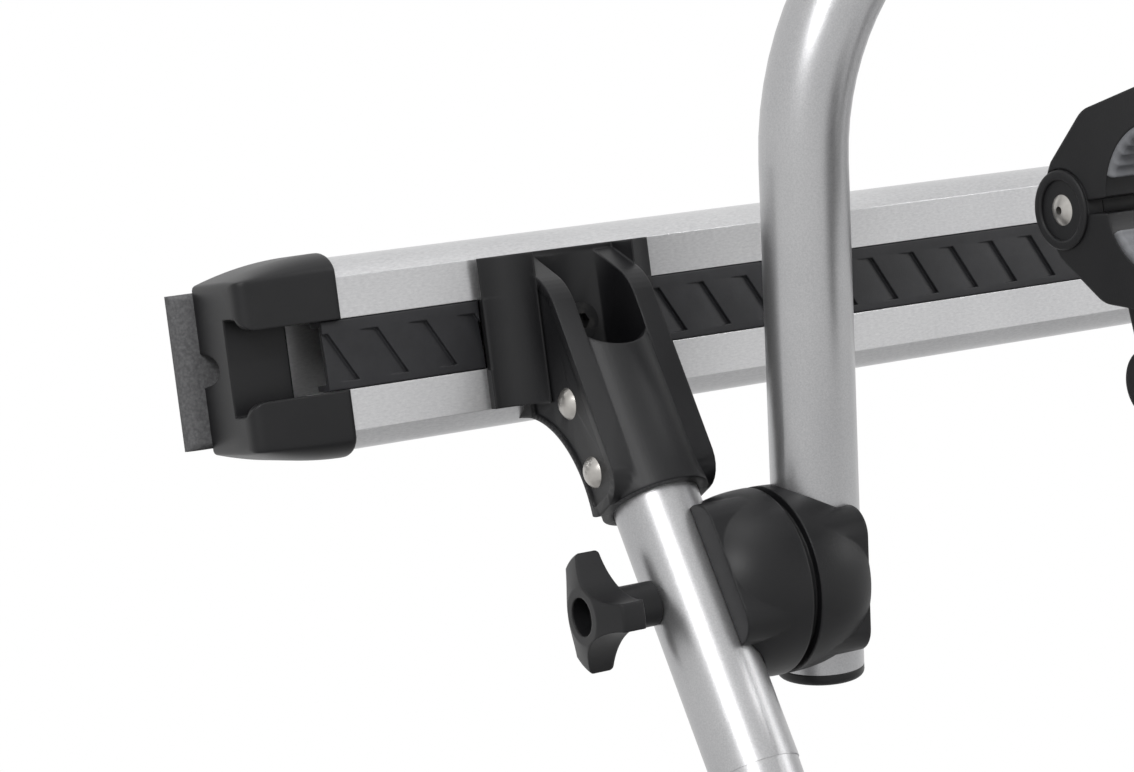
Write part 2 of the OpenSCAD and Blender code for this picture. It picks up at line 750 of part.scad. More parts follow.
// Three-lobed knobs, drawn with the boss at zero and the face along z
lobe_edge = 1.5;
lobe_waist = 9.5;
lobe_dome = 4;
recess_diameter = 13;
recess_depth = 7;
bite_share = 1.3;
lobes = 3;
module knob(hole) {
    bite = bite_share * knob_radius;
    face = boss_length + lobe_thickness + lobe_dome;
    difference() {
        union() {
            cylinder(d = boss_diameter, h = boss_length + over);
            translate([0, 0, boss_length]) difference() {
                rotate_extrude() polygon(rounded([[0, 0], [knob_radius, 0],
                    [knob_radius, lobe_thickness], [lobe_waist, lobe_thickness + lobe_dome],
                    [0, lobe_thickness + lobe_dome]], [0, lobe_edge, lobe_edge, lobe_edge, 0]));
                for (i = [1 : lobes]) rotate([0, 0, i * 360 / lobes])
                    translate([lobe_waist + bite, 0, -over])
                    cylinder(r = bite, h = face, $fn = fine);
            }
        }
        translate([0, 0, -over]) cylinder(r = hole, h = boss_length + 2 * over);
        translate([0, 0, face - recess_depth]) cylinder(d = recess_diameter, h = recess_depth + over);
    }
}
knob_turn = 90;
module joint_knob() {
    translate([knob_x, 0, 0]) rotate([0, 90, 0]) rotate([0, 0, knob_turn]) knob(joint_bolt / 2 + fit);
}
module upper_knob() { translate([0, -hinge_out, hinge_z]) joint_knob(); }
module lower_knob() { translate([0, lower_hinge_y, lower_hinge_z]) joint_knob(); }
module joint_knob_upper_left() { color(moulded) mirror([1, 0, 0]) upper_knob(); }
module joint_knob_upper_right() { color(moulded) upper_knob(); }
module joint_knob_lower_left() { color(moulded) mirror([1, 0, 0]) lower_knob(); }
module joint_knob_lower_right() { color(moulded) lower_knob(); }

// Wheel rails, drawn with the rail's seat on top of the platform tube
saddle_wall = 5;
saddle_length = 44;
saddle_edge = 2;
rail_seat = lower_hinge_z + tube_radius + saddle_wall;
rail_lip = 6;
rail_corner = 4.2;
lip_edge = 1;
module rail_channel() {
    half = rail_width / 2;
    polygon(rounded([
        [-half, 0], [half, 0], [half, rail_height], [half - rail_lip, rail_height],
        [half - rail_lip, rail_height - rail_wall], [half - rail_wall, rail_height - rail_wall],
        [half - rail_wall, rail_wall], [-half + rail_wall, rail_wall],
        [-half + rail_wall, rail_height - rail_wall], [-half + rail_lip, rail_height - rail_wall],
        [-half + rail_lip, rail_height], [-half, rail_height]
    ], [rail_corner, rail_corner, lip_edge, 0, 0, lip_edge, rail_corner - rail_wall,
        rail_corner - rail_wall,
        lip_edge, 0, 0, lip_edge]));
}
module wheel_rail(out) {
    translate([0, lower_hinge_y - out, rail_seat]) along_x(rail_length) rail_channel();
}
module wheel_rail_inner() { color(anodised) wheel_rail(inner_rail_out); }
module wheel_rail_outer() { color(anodised) wheel_rail(outer_rail_out); }
rail_cap_wall = 2.5;
rail_cap_grip = 18;
rail_cap_foot = 6;
rail_cap_top = 4;
module rail_end_cap() {
    half = rail_width / 2 + rail_cap_wall;
    full = rail_cap_grip + rail_cap_wall;
    difference() {
        along_x(full) polygon(rounded([
            [-half, -rail_cap_wall], [half, -rail_cap_wall], [half, rail_height + rail_cap_wall],
            [-half, rail_height + rail_cap_wall]], [rail_cap_foot, rail_cap_foot, rail_cap_top,
                rail_cap_top]));
        translate([-rail_cap_wall, 0, 0]) along_x(full)
            translate([-rail_width / 2 - fit, -fit])
                square([rail_width + 2 * fit, rail_height + 2 * fit]);
    }
}
module rail_end_caps() {
    color(moulded) for (out = [inner_rail_out, outer_rail_out]) mirrored_pair()
        translate([rail_length / 2 + rail_cap_wall - (rail_cap_grip + rail_cap_wall) / 2,
            lower_hinge_y - out, rail_seat]) rail_end_cap();
}
module rail_saddle(x, out) {
    block = tube_radius + saddle_wall;
    translate([x, lower_hinge_y - out, lower_hinge_z]) difference() {
        rotate([90, 0, 0]) linear_extrude(saddle_length, center = true) polygon(rounded([
            [-block, -block], [block, -block], [block, tube_radius + saddle_wall],
            [-block, tube_radius + saddle_wall]], [block / 2, block / 2, saddle_edge, saddle_edge]));
        rotate([90, 0, 0]) cylinder(r = tube_radius, h = 2 * saddle_length, center = true);
    }
}
module rail_saddles() {
    color(moulded) for (out = [inner_rail_out, outer_rail_out], x = [-half_inner, half_inner])
        rail_saddle(x, out);
}

// Wheel straps, each an arch over the rail that ends in a ratchet buckle
strap_width = 24;
strap_wall = 2;
strap_rise = 34;
strap_fold = 2;
buckle_length = 46;
buckle_wall = 4;
buckle_round = 3;
pivot_share = 0.2;
module at_straps() {
    for (out = [inner_rail_out, outer_rail_out], x = [-strap_span / 2, strap_span / 2])
        translate([x, lower_hinge_y - out, rail_seat]) children();
}
module wheel_straps() {
    half = rail_width / 2 + gap;
    color(rubber) at_straps() along_x(strap_width) difference() {
        polygon(rounded([
            [-half - strap_wall, -gap - strap_wall], [half + strap_wall, -gap - strap_wall],
            [half + strap_wall, rail_height + strap_rise], [-half - strap_wall,
                rail_height + strap_rise]],
            [strap_fold + strap_wall, strap_fold + strap_wall, half, half], 2 * bend_steps));
        polygon(rounded([
            [-half, -gap], [half, -gap],
            [half, rail_height + strap_rise - strap_wall], [-half,
                rail_height + strap_rise - strap_wall]],
            [strap_fold, strap_fold, half - strap_wall, half - strap_wall], 2 * bend_steps));
    }
}
module buckle_bases() {
    side = -rail_width / 2 - gap - strap_wall;
    color(moulded) at_straps() translate([0, side, rail_height / 2]) difference() {
        translate([-strap_width / 2 - buckle_wall, -buckle_length / 4, -buckle_length / 4])
            cube([strap_width + 2 * buckle_wall, buckle_length / 4, buckle_length / 2]);
        translate([-strap_width / 2 - gap, -buckle_length / 4 - over, -buckle_length / 4 - over])
            cube([strap_width + 2 * gap, buckle_length / 4 - buckle_wall + over,
                buckle_length / 2 + 2 * over]);
        translate([-strap_width, -pivot_share * buckle_length, 0])
            x_rod(buckle_wall / 2 + fit, 2 * strap_width);
    }
}
module buckle_lever() {
    lever = buckle_length;
    translate([0, -rail_width / 2 - gap - strap_wall - pivot_share * buckle_length, rail_height / 2]) {
        along_x(strap_width) polygon(rounded([
            [-buckle_wall, -buckle_wall], [buckle_wall, -buckle_wall], [buckle_wall, lever / 2],
            [-buckle_wall / 2, lever], [-2 * buckle_wall, lever], [-buckle_wall, lever / 2]],
            [buckle_round, buckle_round, buckle_round, buckle_round / 4, buckle_round / 4,
                buckle_round]));
        translate([-strap_width / 2 - buckle_wall, 0, 0])
            x_rod(buckle_wall / 2, strap_width + 2 * buckle_wall);
    }
}
module at_strap(side, out) {
    translate([side * strap_span / 2, lower_hinge_y - out, rail_seat]) children();
}
module buckle_lever_inner_left() { color(moulded) at_strap(-1, inner_rail_out) buckle_lever(); }
module buckle_lever_inner_right() { color(moulded) at_strap(1, inner_rail_out) buckle_lever(); }
module buckle_lever_outer_left() { color(moulded) at_strap(-1, outer_rail_out) buckle_lever(); }
module buckle_lever_outer_right() { color(moulded) at_strap(1, outer_rail_out) buckle_lever(); }

// Bike holders, drawn with the top bar at the origin and the arm along z
clamp_length = 44;
clamp_wall = 8;
clamp_radius = tube_radius + clamp_wall;
neck_length = 30;
arm_radius = arm_diameter / 2;
neck_wall = 5;
ear_reach = 18;
ear_gap = 4;
head_wall = 5;
axle_radius = 8;
hub_radius = jaw_hub / 2;
mouth_out = 46;
fork = 6;
pin_radius = 4;
module at_arm(side, place, angle) {
    translate([0, -hinge_out, hinge_z]) rotate([hoop_lean, 0, 0])
        translate([side * place, 0, hoop_height])
        rotate([angle - hoop_lean, 0, 0]) mirror([side > 0 ? 1 : 0, 0, 0]) children();
}
module arm_clamp() {
    difference() {
        union() {
            translate([-clamp_length / 2, 0, 0]) x_rod(clamp_radius, clamp_length);
            cylinder(r = arm_radius + neck_wall, h = clamp_radius + neck_length);
            translate([-clamp_length / 2, -ear_gap / 2 - neck_wall, -clamp_radius - ear_reach])
                cube([clamp_length, ear_gap + 2 * neck_wall, clamp_radius + ear_reach]);
        }
        translate([-clamp_length, 0, 0]) x_rod(tube_radius + fit, 2 * clamp_length);
        translate([-clamp_length, -ear_gap / 2, -clamp_radius - ear_reach - over])
            cube([2 * clamp_length, ear_gap, clamp_radius + ear_reach + over]);
        translate([0, 0, clamp_radius]) cylinder(r = arm_radius, h = neck_length + over);
        translate([0, clamp_radius, -clamp_radius - ear_reach / 2]) rotate([90, 0, 0])
            cylinder(r = pin_radius + fit, h = 2 * clamp_radius);
    }
}
module clamp_knob() {
    translate([0, -ear_gap / 2 - neck_wall, -clamp_radius - ear_reach / 2]) rotate([90, 0, 0]) {
        knob(pin_radius);
        translate([0, 0, -ear_gap - 2 * neck_wall])
            cylinder(r = pin_radius, h = ear_gap + 2 * neck_wall + boss_length);
    }
}
module arm_tube(length) {
    translate([0, 0, clamp_radius]) difference() {
        cylinder(r = arm_radius, h = length - clamp_radius);
        translate([0, 0, -over])
            cylinder(r = arm_radius - tube_wall, h = length - clamp_radius + 2 * over);
    }
}
module place_jaw(length, tilt) {
    translate([-jaw_offset, 0, length]) rotate([tilt, 0, 0]) children();
}
jaw_height = 36;
jaw_lip = 9;
lever_out = 30;
lever_drop = 57;
lever_length = 66;
lever_height = 22;
lever_wall = 2;
lever_pin = 3;
lug_half = 7;
lever_half = 12;
nape_share = 0.25;
nape_rise_share = 1.2;
crown_drop_share = 0.4;
crown_share = 0.9;
brow_share = 0.8;
tip_share = 1.3;
chin_share = 1.1;
jaw_rounds = [0, 6, 12, 14, 12, 2, 2, 0, 0];
function jaw_points() = [
    [-hub_radius, 0], [-nape_share * hub_radius, nape_rise_share * hub_radius],
    [mouth_out / 3, jaw_height - crown_drop_share * hub_radius],
    [mouth_out, jaw_height], [mouth_out + crown_share * jaw_mouth, brow_share * jaw_height],
    [mouth_out + tip_share * jaw_mouth, jaw_lip], [mouth_out + chin_share * jaw_mouth, jaw_lip / 2],
    [hub_radius, jaw_lip / 4], [0, jaw_lip / 4]
];
module jaw_profile() {
    mirror([1, 0]) difference() {
        polygon(rounded(jaw_points(), jaw_rounds));
        translate([mouth_out, 0]) circle(jaw_mouth);
    }
}
module jaw_clearance(from, to) {
    for (s = [-1, 1]) mirror([s > 0 ? 0 : 1, 0, 0]) translate([from, 0, 0])
        x_rod(hub_radius + gap, to - from);
}
module upper_jaw() {
    tongue = jaw_width / 2 - fork - gap;
    difference() {
        union() {
            difference() {
                along_x(jaw_width) jaw_profile();
                jaw_clearance(tongue, jaw_width);
            }
            translate([-tongue, 0, 0]) x_rod(hub_radius, 2 * tongue);
        }
        translate([-jaw_width, 0, 0]) x_rod(pin_radius + fit, 2 * jaw_width);
    }
}
module lower_jaw() {
    inner = jaw_width / 2 - fork;
    difference() {
        union() {
            along_x(jaw_width) mirror([0, 1]) jaw_profile();
            for (s = [-1, 1]) translate([s * (jaw_width / 2 - fork / 2) - fork / 2, 0, 0])
                x_rod(hub_radius, fork);
            along_x(2 * lug_half) polygon(rounded([
                [-lever_out - 2 * lug_half, -jaw_height / 2], [-lever_out - lug_half,
                    -lever_drop - lug_half],
                [-lever_out + lug_half, -lever_drop - lug_half], [-lever_out + 2 * lug_half,
                    -jaw_height / 2]],
                [0, lug_half / 2, lug_half / 2, 0]));
        }
        translate([-inner, 0, 0]) x_rod(hub_radius + gap, 2 * inner);
        translate([-jaw_width, 0, 0]) x_rod(pin_radius, 2 * jaw_width);
        translate([-jaw_width, -lever_out, -lever_drop]) x_rod(lever_pin + fit, 2 * jaw_width);
        along_x(2 * jaw_width) translate([-mouth_out, 0]) circle(jaw_mouth);
    }
}
module jaw_head(length, angle) {
    sleeve = arm_radius + head_wall;
    translate([0, 0, length - 2 * sleeve]) difference() {
        cylinder(r = sleeve, h = 2 * sleeve);
        translate([0, 0, -over]) cylinder(r = arm_radius, h = 2 * sleeve + over);
    }
    translate([0, 0, length]) difference() {
        sphere(sleeve);
        translate([0, 0, -sleeve]) cylinder(r = sleeve + over, h = sleeve);
    }
    translate([0, 0, length]) rotate([-angle, 0, 0]) {
        difference() {
            translate([-jaw_offset + jaw_width / 2 - over, 0, 0])
                x_rod(axle_radius, jaw_offset - jaw_width / 2);
            rotate([angle, 0, 0]) translate([0, 0, -3 * sleeve]) cylinder(r = arm_radius, h = 3 * sleeve);
        }
        translate([-jaw_offset, 0, 0]) lower_jaw();
    }
}
module jaw_pad_piece() {
    along_x(jaw_width) mirror([1, 0]) translate([mouth_out, 0]) intersection() {
        difference() {
            circle(jaw_mouth);
            circle(jaw_mouth - jaw_pad);
        }
        translate([-jaw_mouth, jaw_lip]) square([2 * jaw_mouth, jaw_mouth]);
    }
}
module jaw_pin() {
    reach = jaw_width / 2;
    difference() {
        union() {
            translate([-reach, 0, 0]) x_rod(pin_radius, jaw_width - over - gap);
            translate([-reach, 0, 0]) rotate([0, -90, 0]) rivet_dome(pin_radius + over, rivet_rise / 2);
        }
        translate([-jaw_width, 0, 0]) x_rod(pin_radius / 3, jaw_width - reach / 2);
    }
}
module jaw_lever() {
    end = lever_height / 2;
    inner = end - lever_wall;
    ribs = floor(lever_length / lever_height) + 1;
    translate([0, -lever_out, -lever_drop]) {
        difference() {
            union() {
                translate([-lever_half, 0, 0]) x_rod(end, 2 * lever_half);
                translate([-lever_half, -lever_length + end, -end])
                    cube([2 * lever_half, lever_length - end, lever_height]);
                translate([-lever_half, -lever_length + end, 0]) x_rod(end, 2 * lever_half);
            }
            translate([lever_wall - lever_half, 0, 0]) {
                x_rod(inner + lever_wall + over, 2 * (lever_half - lever_wall));
                translate([0, -lever_length + end, 0]) x_rod(inner, 2 * (lever_half - lever_wall));
                translate([0, -lever_length + end, -inner])
                    cube([2 * (lever_half - lever_wall), lever_length - end, 2 * inner]);
                translate([0, -lever_length + end, -end - over])
                    cube([2 * (lever_half - lever_wall), lever_length - end, end]);
            }
            translate([-lug_half - gap, -3 * lug_half, 0])
                cube([2 * (lug_half + gap), 3 * lug_half + end, end + over]);
        }
        for (i = [1 : ribs - 1])
            translate([-lever_half + over / 2, -end - over - i * (lever_length - 2 * end) / ribs, -end])
            cube([2 * lever_half - over, lever_wall, lever_height - over / 2]);
        translate([-lever_half, 0, 0]) x_rod(lever_pin, 2 * lever_half);
    }
}
module on_jaw(side, place, length, angle) {
    at_arm(side, place, angle) place_jaw(length, -angle) children();
}
module on_short_jaw() { on_jaw(-1, short_arm_place, short_arm, short_arm_angle) children(); }
module on_long_jaw() { on_jaw(1, long_arm_place, long_arm, long_arm_angle) children(); }
module on_short_arm() { at_arm(-1, short_arm_place, short_arm_angle) children(); }
module on_long_arm() { at_arm(1, long_arm_place, long_arm_angle) children(); }
module short_clamp() { color(moulded) on_short_arm() arm_clamp(); }
module short_clamp_knob() { color(moulded) on_short_arm() clamp_knob(); }
module short_arm_tube() { color(anodised) on_short_arm() arm_tube(short_arm); }
module short_head() { color(moulded) on_short_arm() jaw_head(short_arm, short_arm_angle); }
module short_jaw() { color(moulded) on_short_jaw() upper_jaw(); }
module short_upper_pad() { color(grip_grey) on_short_jaw() jaw_pad_piece(); }
module short_lower_pad() { color(grip_grey) on_short_jaw() mirror([0, 0, 1]) jaw_pad_piece(); }
module short_jaw_pin() { color(steel) on_short_jaw() jaw_pin(); }
module short_jaw_lever() { color(moulded) on_short_jaw() jaw_lever(); }
module long_clamp() { color(moulded) on_long_arm() arm_clamp(); }
module long_clamp_knob() { color(moulded) on_long_arm() clamp_knob(); }
module long_arm_tube() { color(anodised) on_long_arm() arm_tube(long_arm); }
module long_head() { color(moulded) on_long_arm() jaw_head(long_arm, long_arm_angle); }
module long_jaw() { color(moulded) on_long_jaw() upper_jaw(); }
module long_upper_pad() { color(grip_grey) on_long_jaw() jaw_pad_piece(); }
module long_lower_pad() { color(grip_grey) on_long_jaw() mirror([0, 0, 1]) jaw_pad_piece(); }
module long_jaw_pin() { color(steel) on_long_jaw() jaw_pin(); }
module long_jaw_lever() { color(moulded) on_long_jaw() jaw_lever(); }

upper_beam();
lower_beam();
cover_strips();
upper_beam_caps();
lower_beam_caps();
seal_pads();
socket_bracket_left();
socket_bracket_right();
lower_bracket_left();
lower_bracket_right();
bracket_rivets();
bracket_bolts();
slot_nuts();
side_tube_left();
side_tube_right();
side_tube_plugs();
upper_outer_shells();
lower_outer_shells();
hoop_tube();
hoop_tube_plugs();
upper_inner_shells();
upper_joint_bolts();
platform_tube();
platform_tube_plugs();
lower_inner_shells();
lower_joint_bolts();
wheel_rail_inner();
wheel_rail_outer();
rail_end_caps();
rail_saddles();
wheel_straps();
buckle_bases();
buckle_lever_inner_left();
buckle_lever_inner_right();
buckle_lever_outer_left();
buckle_lever_outer_right();
joint_knob_upper_left();
joint_knob_upper_right();
joint_knob_lower_left();
joint_knob_lower_right();
short_clamp();
short_clamp_knob();
short_arm_tube();
short_head();
short_jaw();
short_lower_pad();
short_upper_pad();
short_jaw_pin();
short_jaw_lever();
long_clamp();
long_clamp_knob();
long_arm_tube();
long_head();
long_jaw();
long_lower_pad();
long_upper_pad();
long_jaw_pin();
long_jaw_lever();
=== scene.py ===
import json
import math

import bmesh
import bpy
import numpy as np
from mathutils import Matrix, Vector


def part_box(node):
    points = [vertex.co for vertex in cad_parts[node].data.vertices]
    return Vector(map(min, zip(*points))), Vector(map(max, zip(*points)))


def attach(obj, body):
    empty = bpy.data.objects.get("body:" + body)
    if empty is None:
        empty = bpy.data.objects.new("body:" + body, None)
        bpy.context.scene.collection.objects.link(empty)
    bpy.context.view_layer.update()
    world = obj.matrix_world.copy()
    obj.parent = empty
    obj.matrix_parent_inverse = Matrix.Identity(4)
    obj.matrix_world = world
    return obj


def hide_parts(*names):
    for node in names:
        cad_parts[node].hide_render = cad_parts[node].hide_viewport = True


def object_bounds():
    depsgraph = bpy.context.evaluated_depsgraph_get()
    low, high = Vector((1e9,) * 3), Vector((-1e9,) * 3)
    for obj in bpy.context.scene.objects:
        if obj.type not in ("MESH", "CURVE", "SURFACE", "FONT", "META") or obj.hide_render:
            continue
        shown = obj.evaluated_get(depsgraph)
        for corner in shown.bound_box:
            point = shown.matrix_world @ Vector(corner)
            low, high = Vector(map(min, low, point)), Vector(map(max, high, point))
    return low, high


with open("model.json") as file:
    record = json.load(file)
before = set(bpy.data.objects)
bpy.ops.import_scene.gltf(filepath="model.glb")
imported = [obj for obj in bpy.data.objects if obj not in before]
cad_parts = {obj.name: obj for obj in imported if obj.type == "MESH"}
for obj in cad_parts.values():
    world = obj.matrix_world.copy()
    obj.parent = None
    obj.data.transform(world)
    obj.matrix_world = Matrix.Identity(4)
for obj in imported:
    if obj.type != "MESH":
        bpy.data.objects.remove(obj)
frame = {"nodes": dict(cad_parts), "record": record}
cadLow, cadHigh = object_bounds()
print("frame loaded:", len(frame["nodes"]), "nodes")


# A wrapped socket: sums, differences and products written on it add Math nodes
class Field:
    def __init__(self, tree, socket):
        self.tree = tree
        self.socket = socket

    def combine(self, operation, first, second):
        node = self.tree.nodes.new("ShaderNodeMath")
        node.operation = operation
        for place, value in enumerate((first, second)):
            if isinstance(value, Field):
                self.tree.links.new(value.socket, node.inputs[place])
            else:
                node.inputs[place].default_value = value
        return Field(self.tree, node.outputs[0])

    def __add__(self, other):
        return self.combine("ADD", self, other)

    def __radd__(self, other):
        return self.combine("ADD", other, self)

    def __sub__(self, other):
        return self.combine("SUBTRACT", self, other)

    def __rsub__(self, other):
        return self.combine("SUBTRACT", other, self)

    def __mul__(self, other):
        return self.combine("MULTIPLY", self, other)

    def __rmul__(self, other):
        return self.combine("MULTIPLY", other, self)


# A material under construction: one method adds any node, with its settings first and then its sockets
class Recipe:
    def __init__(self, name=None, world=None):
        self.material = world or bpy.data.materials.new(name)
        self.material.use_nodes = True
        self.tree = self.material.node_tree
        self.shader = self.tree.nodes.get("Principled BSDF")
        self.place = self.add("TexCoord", output="Object")

    def put(self, socket, value):
        if isinstance(value, Field):
            self.tree.links.new(value.socket, socket)
        else:
            socket.default_value = value

    def add(self, kind, settings=None, sockets=None, output=0):
        node = self.tree.nodes.new("ShaderNode" + kind)
        for key, value in (settings or {}).items():
            setattr(node, key, value)
        for key, value in (sockets or {}).items():
            self.put(node.inputs[key], value)
        return Field(self.tree, node.outputs[output])

    def noise(self, scale, detail, roughness=0.55, stretch=(1, 1, 1)):
        place = self.add("Mapping", sockets={"Vector": self.place, "Scale": stretch})
        return self.add("TexNoise", sockets={"Vector": place, "Scale": scale, "Detail": detail,
                                             "Roughness": roughness})

    def mask(self, value, low, high):
        return self.add("MapRange", {"clamp": True}, {"Value": value, "From Min": low, "From Max": high})

    def tint(self, factor, first, second):
        return self.add("Mix", {"data_type": "RGBA"}, {0: factor, 6: (*first, 1), 7: (*second, 1)}, output=2)

    def bump(self, height, strength, distance, under=None):
        sockets = {"Height": height, "Strength": strength, "Distance": distance}
        if under is not None:
            sockets["Normal"] = under
        return self.add("Bump", sockets=sockets)

    def soften(self, radius):
        # the normal of an edge eased by a small radius
        return self.add("Bevel", {"samples": 6}, {"Radius": radius})

    def finish(self, **sockets):
        names = {"color": "Base Color", "roughness": "Roughness", "metallic": "Metallic", "normal": "Normal",
                 "specular": "Specular IOR Level"}
        for key, value in sockets.items():
            self.put(self.shader.inputs[names[key]], value)
        return self.material


# Finishes. A noise is given by its scale, detail, roughness and stretch, a range by its low and high value,
# and a bump by its strength and distance
beamFinish = {"pale": (0.64, 0.64, 0.645), "dark": (0.50, 0.50, 0.51), "metal": 0.8, "roughness": 0.28,
              "roughSpread": 0.12, "grain": (1500.0, 2.0, 0.7, (0.35, 1, 1)), "cloud": (12.0, 2.0),
              "cloudShare": 0.4, "range": (0.34, 0.66), "bump": (0.2, 0.00012), "edge": 0.0005}
tubeFinish = {"pale": (0.48, 0.48, 0.485), "dark": (0.37, 0.37, 0.38), "metal": 0.85, "roughness": 0.27,
              "roughSpread": 0.12, "grain": (1900.0, 2.0, 0.7), "cloud": (16.0, 2.0),
              "cloudShare": 0.4, "range": (0.36, 0.64), "bump": (0.2, 0.00012)}


def anodised(name, values):
    # satin aluminium: a fine speckle, drawn out along the beam, with a soft cloud in the tone
    recipe = Recipe(name)
    grain = recipe.noise(*values["grain"])
    cloud = recipe.noise(*values["cloud"])
    tone = recipe.mask(cloud * values["cloudShare"] + grain * (1 - values["cloudShare"]), *values["range"])
    eased = recipe.soften(values["edge"]) if "edge" in values else None
    return recipe.finish(color=recipe.tint(tone, values["dark"], values["pale"]),
                         roughness=values["roughness"] + grain * values["roughSpread"],
                         metallic=values["metal"], normal=recipe.bump(grain, *values["bump"], eased))


mouldedFinish = {"deep": (0.006, 0.006, 0.007), "worn": (0.011, 0.011, 0.012), "specular": 0.32,
                 "roughness": 0.34, "patchSpread": 0.12, "grainSpread": 0.06, "grain": (1700.0, 3.0, 0.65),
                 "patches": (26.0, 3.0), "range": (0.4, 0.7), "bump": (0.22, 0.00016), "edge": 0.0011}


def mouldedBlack():
    # glass-filled nylon: fine spark-eroded grain, with broad patches a little duller, and edges eased by the
    # mould
    values = mouldedFinish
    recipe = Recipe("mouldedBlack")
    grain = recipe.noise(*values["grain"])
    patches = recipe.noise(*values["patches"])
    tone = recipe.mask(patches, *values["range"])
    roughness = values["roughness"] + patches * values["patchSpread"] + grain * values["grainSpread"]
    return recipe.finish(color=recipe.tint(tone, values["deep"], values["worn"]), roughness=roughness,
                         specular=values["specular"],
                         normal=recipe.bump(grain, *values["bump"], recipe.soften(values["edge"])))


stripFinish = {"deep": (0.012, 0.012, 0.014), "dusty": (0.024, 0.024, 0.027), "specular": 0.4,
               "roughness": 0.46, "roughSpread": 0.12, "grain": (1500.0, 2.0, 0.6), "dust": (60.0, 4.0),
               "range": (0.4, 0.75), "bump": (0.2, 0.00015), "edge": 0.0007}


def stripRubber():
    # ribbed rubber: dust in faint clouds over a fine grain
    values = stripFinish
    recipe = Recipe("stripRubber")
    dust = recipe.noise(*values["dust"])
    grain = recipe.noise(*values["grain"])
    tone = recipe.mask(dust, *values["range"])
    return recipe.finish(color=recipe.tint(tone, values["deep"], values["dusty"]),
                         roughness=values["roughness"] + grain * values["roughSpread"],
                         specular=values["specular"],
                         normal=recipe.bump(grain, *values["bump"], recipe.soften(values["edge"])))


foamFinish = {"dark": (0.12, 0.12, 0.123), "pale": (0.20, 0.20, 0.205), "specular": 0.2, "roughness": 0.9,
              "cell": 900.0, "cellShare": 0.35, "fleck": (650.0, 4.0, 0.75), "range": (0.40, 0.85),
              "bump": (0.5, 0.0004)}


def sealFoam():
    # sponge rubber: fine dark cells under a speckle of pale flecks, about a millimetre apart
    values = foamFinish
    recipe = Recipe("sealFoam")
    cells = recipe.add("TexVoronoi", {"feature": "F1"}, {"Vector": recipe.place, "Scale": values["cell"]})
    fleck = recipe.noise(*values["fleck"])
    tone = recipe.mask(cells * values["cellShare"] + fleck, *values["range"])
    return recipe.finish(color=recipe.tint(tone, values["pale"], values["dark"]),
                         roughness=values["roughness"], specular=values["specular"],
                         normal=recipe.bump(fleck, *values["bump"]))


padFinish = {"pale": (0.25, 0.255, 0.27), "dark": (0.18, 0.185, 0.20), "specular": 0.4, "roughness": 0.5,
             "roughSpread": 0.12, "grain": (1200.0, 2.0), "smear": (45.0, 4.0), "range": (0.35, 0.7),
             "bump": (0.2, 0.0002)}


def padRubber():
    # grey rubber, smeared darker where bikes have rubbed it
    values = padFinish
    recipe = Recipe("padRubber")
    smear = recipe.noise(*values["smear"])
    grain = recipe.noise(*values["grain"])
    tone = recipe.mask(smear, *values["range"])
    return recipe.finish(color=recipe.tint(tone, values["pale"], values["dark"]),
                         roughness=values["roughness"] + smear * values["roughSpread"],
                         specular=values["specular"], normal=recipe.bump(grain, *values["bump"]))


steelFinish = {"first": (0.36, 0.345, 0.325), "second": (0.50, 0.485, 0.46), "metal": 0.9, "roughness": 0.26,
               "roughSpread": 0.15, "cloud": (140.0, 4.0), "range": (0.35, 0.65), "bump": (0.1, 0.0002)}
blackSteelFinish = {"first": (0.02, 0.02, 0.021), "second": (0.05, 0.048, 0.046), "metal": 0.6,
                    "roughness": 0.38, "roughSpread": 0.1, "cloud": (220.0, 3.0), "range": (0.5, 0.75),
                    "bump": (0.1, 0.0002)}


def cloudedSteel(name, values):
    # zinc plate with faint brown clouds, or blackened bolts a little greyer where a key has rubbed
    recipe = Recipe(name)
    cloud = recipe.noise(*values["cloud"])
    tone = recipe.mask(cloud, *values["range"])
    return recipe.finish(color=recipe.tint(tone, values["first"], values["second"]),
                         roughness=values["roughness"] + cloud * values["roughSpread"],
                         metallic=values["metal"], normal=recipe.bump(cloud, *values["bump"]))


finishes = {"anodised_beam": anodised("anodisedBeam", beamFinish),
            "anodised_tube": anodised("anodisedTube", tubeFinish),
            "moulded_black": mouldedBlack(), "strip_rubber": stripRubber(), "seal_foam": sealFoam(),
            "pad_rubber": padRubber(), "bright_steel": cloudedSteel("brightSteel", steelFinish),
            "black_steel": cloudedSteel("blackSteel", blackSteelFinish)}
print("finishes made:", len(finishes))


def dressNodes():
    # every solid takes the finish of its material slot in the record
    for part in frame["record"]["subparts"]:
        node = frame["nodes"][part["node"]]
        finish = finishes[part["material_slot"]]
        if not node.material_slots:
            node.data.materials.append(finish)
        for slot in node.material_slots:
            slot.material = finish


dressNodes()
print("frame dressed")


